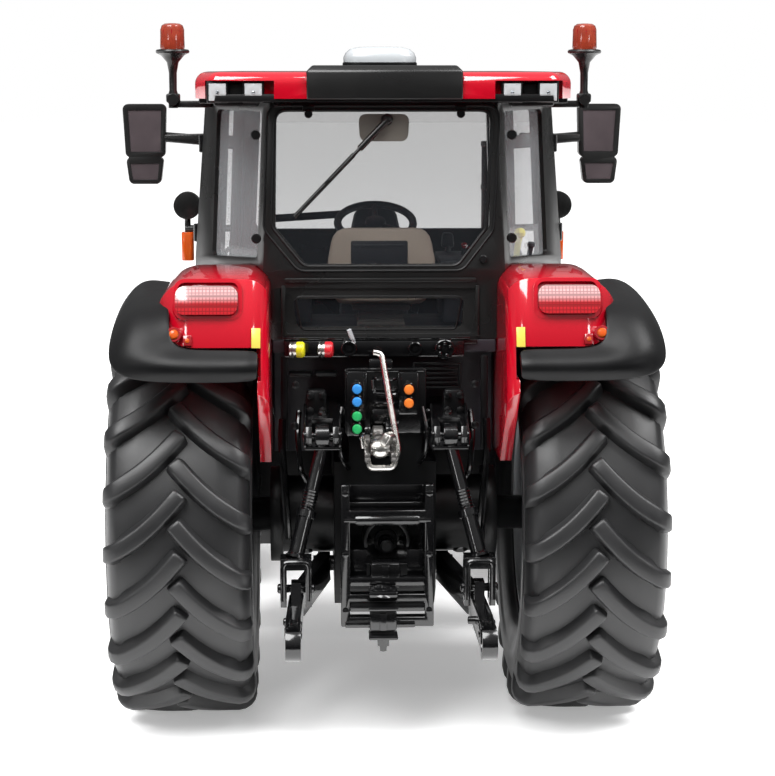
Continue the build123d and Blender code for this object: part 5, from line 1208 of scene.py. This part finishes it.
# lift arms: pin heads, cotter ends and a bright lower flange on each yoke
for side in (-1, 1):
    lean = at(side * 7.9, -15.0, 38.4)
    x0 = side * 7.9
    armBits = [turned([(-2.45, 0.6), (-2.35, 0.85), (-2.08, 0.85), (-2.08, 0.5), (2.08, 0.5), (2.08, 0.85),
                       (2.35, 0.85), (2.5, 0.55)],
                      lean, (1, 0, 0), 16),
               block((4.3, 0.9, 0.35), lean + Vector((0, -0.9, -1.35)), 0.1),
               block((2.3, 2.2, 1.3), at(x0, -10.6, 39.9), 0.35, (0.8, 0.8)),
               turned([(0, 0.55), (0.5, 0.55), (0.6, 0.4)], at(x0, -11.2, 40.4), (0, -0.7, 1), 6)]
    armBits += [slab(rounded([(at(0, -16.6, 0).y, 37.1), (at(0, -16.6, 0).y, 39.0), (at(0, -10.0, 0).y, 41.9),
                              (at(0, -10.0, 0).y, 37.6)], 0.4),
                     x0 + e * 2.0, x0 + e * 2.3, 0.1) for e in (-1, 1)]
    word = "left" if side < 0 else "right"
    joined(armBits, f"lift_yoke_{word}", "linkageBlack", "lift_arms")

# lift rods: plain neck, cut thread, lock nut and sleeve above the fork, with rounded fork shoulders and
# pin heads
for side, word in ((-1, "left"), (1, "right")):
    top, low = at(side * 7.9, -15.3, 37.3), at(side * 11.2, -19.8, 24.5)
    run = (low - top).length
    thread = [(run * 0.42 + 0.2 * k, 0.86 if k % 2 else 1.0) for k in range(13)]
    rows = [(0.4, 0.84), (run * 0.41, 0.86)] + thread + [(thread[-1][0] + 0.1, 1.25),
                                                         (thread[-1][0] + 0.9, 1.25),
                                                         (thread[-1][0] + 1.0, 0.98),
                                                         (run - 0.3, 1.0), (run, 1.25), (run + 0.3, 1.25)]
    body = f"lift_rod_{word}"
    sleeve = turned(rows, top, tuple(low - top), 12)
    collar = turned([(-0.85, 1.1), (-0.7, 1.5), (0.7, 1.5), (0.85, 1.1)], at(side * 7.9, -15.0, 38.4),
                    (1, 0, 0), 20)
    shoulders = [wire([at(side * 11.2 - 1.62, -21.45, 19.2), at(side * 11.2 - 1.62, -21.45, 24.0),
                       at(side * 11.2 + 1.62, -21.45, 24.0),
                       at(side * 11.2 + 1.62, -21.45, 19.2)], 0.3, 0.8)]
    shoulders += [turned([(0, 0.62), (0.25, 0.62), (0.4, 0.4)], at(side * 11.2 + e * 1.9, -20.0, 20.4),
                         (e, 0, 0), 14) for e in (-1, 1)]
    joined([sleeve, collar] + shoulders, f"lift_rod_{word}_sleeve", "linkageBlack", body)

# lower links: check chain knob, hook latch with its rivets, and the raised edges of the pressed bar
for side, word in ((-1, "left"), (1, "right")):
    x0, x1 = side * 11.2, side * 11.5
    linkBits = [wire([at(x1 + e * 0.72, -31.0, 18.0), at(x1 + e * 0.72, -26.0, 18.35),
                      at(x0 + e * 0.72, -16.5, 18.55)], 0.2, 0.5) for e in (-1, 1)]
    linkBits += [turned([(-1.05, 0.3), (-0.95, 0.42), (0.95, 0.42), (1.05, 0.3)], at(x1, y, z), (1, 0, 0), 10)
                 for y, z in ((-29.2, 17.6), (-28.2, 16.7), (-27.6, 17.9))]
    linkBits += [block((0.9, 1.9, 0.45), at(x1, -28.8, 18.4), 0.15),
                 turned([(-1.6, 0.3), (-1.5, 0.5), (0, 0.55)], at(x0, -22.6, 16.9), (1, 0, 0), 12)]
    joined(linkBits, f"lower_link_{word}_latch", "linkageBlack", f"lower_link_{word}")
knobs = [turned([(0, 0.9), (0.5, 1.1), (1.4, 1.1), (1.9, 0.8)], at(side * 9.2, -1.8, 21.6), (side, 0, 0),
                16) for side in (-1, 1)]
joined(knobs, "check_link_bosses", "linkageBlack", "tractor")

# pick-up frame: rolled crossbar, cover plates, slotted bars and bolts; power take-off guard above, ball
# pan below
frameBits = [turned([(-5.3, 0.45), (-3.9, 0.45), (-3.9, 0.62), (-3.6, 0.7), (3.6, 0.7), (3.9, 0.62),
                     (3.9, 0.45), (5.3, 0.45)],
                    at(0, -18.6, 28.6), (1, 0, 0), 16)]
frameBits += [block((2.0, 0.5, 3.6), at(side * 3.5, -16.6, 22.6), 0.12) for side in (-1, 1)]
frameBits += [block((9.2, 1.3, 1.1), at(0, -18.3, 20.9), 0.15),
              block((9.2, 1.2, 1.0), at(0, -18.4, 17.6), 0.15),
              block((8.6, 1.4, 0.8), at(-0.9, -18.5, 15.5), 0.15),
              block((9.2, 0.8, 2.4), at(0, -15.2, 31.2), 0.2)]
frameBits += [turned([(0, 0.42), (0.3, 0.42), (0.38, 0.25)], at(side * 5.15, -19.0, z), (0, -1, 0),
                     6) for side in (-1, 1) for z in (32.0, 24.4, 17.2)]
joined(frameBits, "hitch_frame_bars", "linkageBlack", "tractor")
guardLine = [(2.9 * math.cos(math.radians(a)),
              25.4 + 2.9 * math.sin(math.radians(a))) for a in range(-18, 199, 18)]
guardLine += [(2.45 * math.cos(math.radians(a)),
               25.4 + 2.45 * math.sin(math.radians(a))) for a in range(198, -19, -18)]
spline = [(0.25 * k, 0.78 if k % 2 else 0.9) for k in range(4)]
ptoBits = [slab(guardLine, at(0, -16.35, 0).y, at(0, -12.5, 0).y, 0.1, "back"),
           turned([(0, 1.5), (0.5, 1.5), (0.6, 1.0), (1.8, 1.0), (2.0, 0.8), (3.4, 0.85), (3.6, 0.6)],
                  at(0, -12.6, 24.6), (0, -1, 0), 12)]
ptoBits += [turned([(0, 0.38), (0.35, 0.38), (0.45, 0.2)],
                   at(2.2 * math.cos(a), -13.0, 25.4 + 2.2 * math.sin(a)), (0, -1, 0), 6)
            for a in (-0.4, 0.9, 2.2, 3.5)]
ptoPiece = joined(ptoBits, "pto_guard", "castGrey", "tractor")
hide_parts("pto")
panBits = [block((3.9, 2.6, 3.0), at(-0.2, -16.6, 21.6), 0.35, (0.92, 0.92)),
           block((3.4, 0.5, 0.35), at(-0.2, -18.0, 23.0), 0.12),
           block((3.4, 0.5, 0.35), at(-0.2, -18.0, 20.1), 0.12),
           block((0.9, 0.5, 2.4), at(-0.2, -18.0, 21.6), 0.2)]
joined(panBits, "ball_pan", "linkageBlack", "tractor")
headBits = [block((3.5, 3.0, 0.8), at(-0.6, -20.9, 20.1), 0.25),
            block((3.6, 3.1, 0.5), at(-0.6, -20.9, 18.3), 0.15),
            block((3.3, 2.4, 2.6), at(-0.6, -20.6, 16.6), 0.3),
            block((0.9, 0.4, 2.2), at(-0.6, -21.9, 16.6), 0.15),
            block((3.6, 3.1, 0.6), at(-0.6, -20.9, 14.7), 0.2),
            turned([(0, 1.5), (0.3, 1.7), (0.5, 1.5), (0.7, 0.9)], at(-0.6, -20.9, 19.9), (0.1, -0.25, 1),
                   20),
            turned([(0, 0.85), (0.9, 0.8), (1.0, 0.5), (1.6, 0.45)], at(-0.6, -21.2, 14.4), (0, 0, -1), 6)]
headPiece = joined(headBits, "towing_head", "linkageBlack", "tractor")
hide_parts("drawbar")
print("linkage done")


# the sides: door fittings, step treads, the tank's cap, exhaust clamps and bonnet seams
def onDoor(back, up, out=0.0):
    # a place on the door's outside, which closes towards the bonnet and leans in above its kink
    return at(24.8 - (back - 14) * 0.1333 - max(0, up - 58.0) * 0.0734 + out, back, up)


doorSeams = [wire([onDoor(15.4, 37.4), onDoor(15.2, 52.0), onDoor(15.0, 76.6)], 0.14, 1.0, 8),
             wire([onDoor(41.0, 37.4), onDoor(41.0, 48.0), onDoor(41.0, 58.0)], 0.14, 1.0, 8)]
doorHinges = [turned([(0, 0.5), (0.1, 0.6), (2.3, 0.6), (2.4, 0.5)], onDoor(15.2, up), (0, 0, 1),
                     14) for up in (44.0, 60.0, 72.0)]
doorHandle = [block((0.9, 3.4, 0.9), onDoor(38.6, 47.4, 0.35), 0.25),
              block((0.7, 1.0, 1.6), onDoor(39.8, 47.1, 0.15), 0.2),
              turned([(0, 0.42), (0.2, 0.42), (0.25, 0.3)], onDoor(36.6, 46.2, 0.1), (1, 0, 0), 14)]
grabRail = [wire([onDoor(42.2, 44.0, -0.2), onDoor(42.2, 44.6, 1.0), onDoor(42.2, 56.4, 1.0),
                  onDoor(42.2, 57.0, -0.2)], 0.32, 1.0, 8)]
joined(bothSides(doorSeams + doorHinges + doorHandle + grabRail), "door_fittings", "linkageBlack", "tractor")

# tread bars across each step, and the tank's cap
stepBars = [block((6.6, 0.28, 0.22), at(22.8, back, up),
                  0.08) for up in (12.1, 19.4, 26.7) for back in (34.6, 36.2, 37.8, 39.4, 41.0)]
joined(bothSides(stepBars), "step_treads", "linkageBlack", "tractor")
tankCap = [turned([(0, 1.5), (0.4, 1.5), (0.45, 1.35), (1.3, 1.3), (1.5, 1.1)], at(12.5, 40.5, 33.2),
                  (0, 0, 1), 24),
           block((2.2, 0.45, 0.4), at(12.5, 40.5, 34.8), 0.12)]
joined(tankCap, "tank_cap", "blackAbs", "tractor")

# four clamps round the exhaust
stack = []
for up in (51.0, 58.0, 65.0, 71.5):
    stack.append(turned([(0, 2.0), (0.12, 2.12), (0.7, 2.12), (0.82, 2.0)], (18.6, 14.75, up), (0, 0, 1), 32))
joined(stack, "exhaust_clamps", "exhaustBlack", "tractor")

# bonnet: the seams along each side where it opens
seams = [wire([at(10.75, 44.2, 40.5), at(10.75, 56.0, 40.0)], 0.12, 1.0, 8),
         wire([at(10.2, 44.6, 53.4), at(10.55, 70.0, 50.9), at(10.0, 88.0, 49.4)], 0.1, 1.0, 8)]
joined(bothSides(seams), "bonnet_seams", "blackAbs", "tractor")
print("side fittings done")


# a bright tent whose dark gaps show only in reflections, with two softboxes and two low strips
studio = {"backdrop": 1.0, "low": 0.10, "overhead": 0.75, "glossy": 0.6, "key": 6.0,
          "keyAt": (-200, -300, 520), "keySize": 0.40,
          "fill": 3.4, "fillAt": (300, -160, 480), "fillSize": 0.3}
world = bpy.data.worlds.new("studio")
bpy.context.scene.world = world
world.use_nodes = True
tent = world.node_tree
path = addNode(tent, "ShaderNodeLightPath")
heading = addNode(tent, "ShaderNodeSeparateXYZ", {},
                  {"Vector": addNode(tent, "ShaderNodeTexCoord").outputs["Generated"]})
rising = addNode(tent, "ShaderNodeMapRange",
                 {"From Min": -0.1, "From Max": 0.9, "To Min": studio["low"], "To Max": studio["overhead"]},
                 {"Value": heading.outputs["Z"]})
seen = addNode(tent, "ShaderNodeMix", {"data_type": "FLOAT", "B": studio["backdrop"]},
               {"Factor": path.outputs["Is Camera Ray"], "A": rising.outputs["Result"]})
sheen = addNode(tent, "ShaderNodeMapRange",
                {"From Min": -0.1, "From Max": 0.9, "To Min": 0.02, "To Max": studio["glossy"]},
                {"Value": heading.outputs["Z"]})
mirrored = addNode(tent, "ShaderNodeMix", {"data_type": "FLOAT"},
                   {"Factor": path.outputs["Is Glossy Ray"], "A": seen.outputs[0],
                    "B": sheen.outputs["Result"]})
tent.nodes["Background"].inputs["Color"].default_value = (1, 1, 1, 1)
tent.links.new(mirrored.outputs[0], tent.nodes["Background"].inputs["Strength"])
bpy.context.scene.view_settings.view_transform = "Standard"
bpy.ops.mesh.primitive_plane_add(size=3)
floor = bpy.context.object
# ends behind the tractor, so its back reflects a dark room
floor.data.transform(Matrix.Translation((0, 1.5 + (rearAxle.y - 75) * mm, 0)))
floor.name = "floor"
paint["floorPaper"] = newFinish("floorPaper",
                                {"base": "FFFFFF", "second": "FBFBFB", "rough": (0.6, 0.7), "patch": 80})
paper = paint["floorPaper"].node_tree
# painted light: the paper glows by itself, at 0.33 within 70 mm of the middle, which lightens the shadows
# under the tractor, rising to 0.55 beyond 200 mm so it fades into the backdrop
reach = addNode(paper, "ShaderNodeVectorMath", {"operation": "LENGTH"})
paper.links.new(paper.nodes["Texture Coordinate"].outputs["Object"], reach.inputs[0])
glow = addNode(paper, "ShaderNodeMapRange",
               {"From Min": 0.07, "From Max": 0.2, "To Min": 0.33, "To Max": 0.55},
               {"Value": reach.outputs["Value"]})
paper.links.new(glow.outputs["Result"], paper.nodes["Principled BSDF"].inputs["Emission Strength"])
paper.nodes["Principled BSDF"].inputs["Emission Color"].default_value = (1, 1, 1, 1)
floor.data.materials.append(paint["floorPaper"])


def areaLight(at, size, power):
    bpy.ops.object.light_add(type="AREA", location=Vector(at) * mm)
    lamp = bpy.context.object
    lamp.data.energy = power
    lamp.data.size = size
    lamp.rotation_euler = (Vector((0, 0, 0.045)) - lamp.location).to_track_quat("-Z", "Y").to_euler()


areaLight(studio["keyAt"], studio["keySize"], studio["key"])
areaLight(studio["fillAt"], studio["fillSize"], studio["fill"])
for across in (-1, 1):
    # narrow strips low behind each corner draw the thin bright lines along bars and edges
    areaLight((across * 330, -430, 150), 0.05, 0.12)
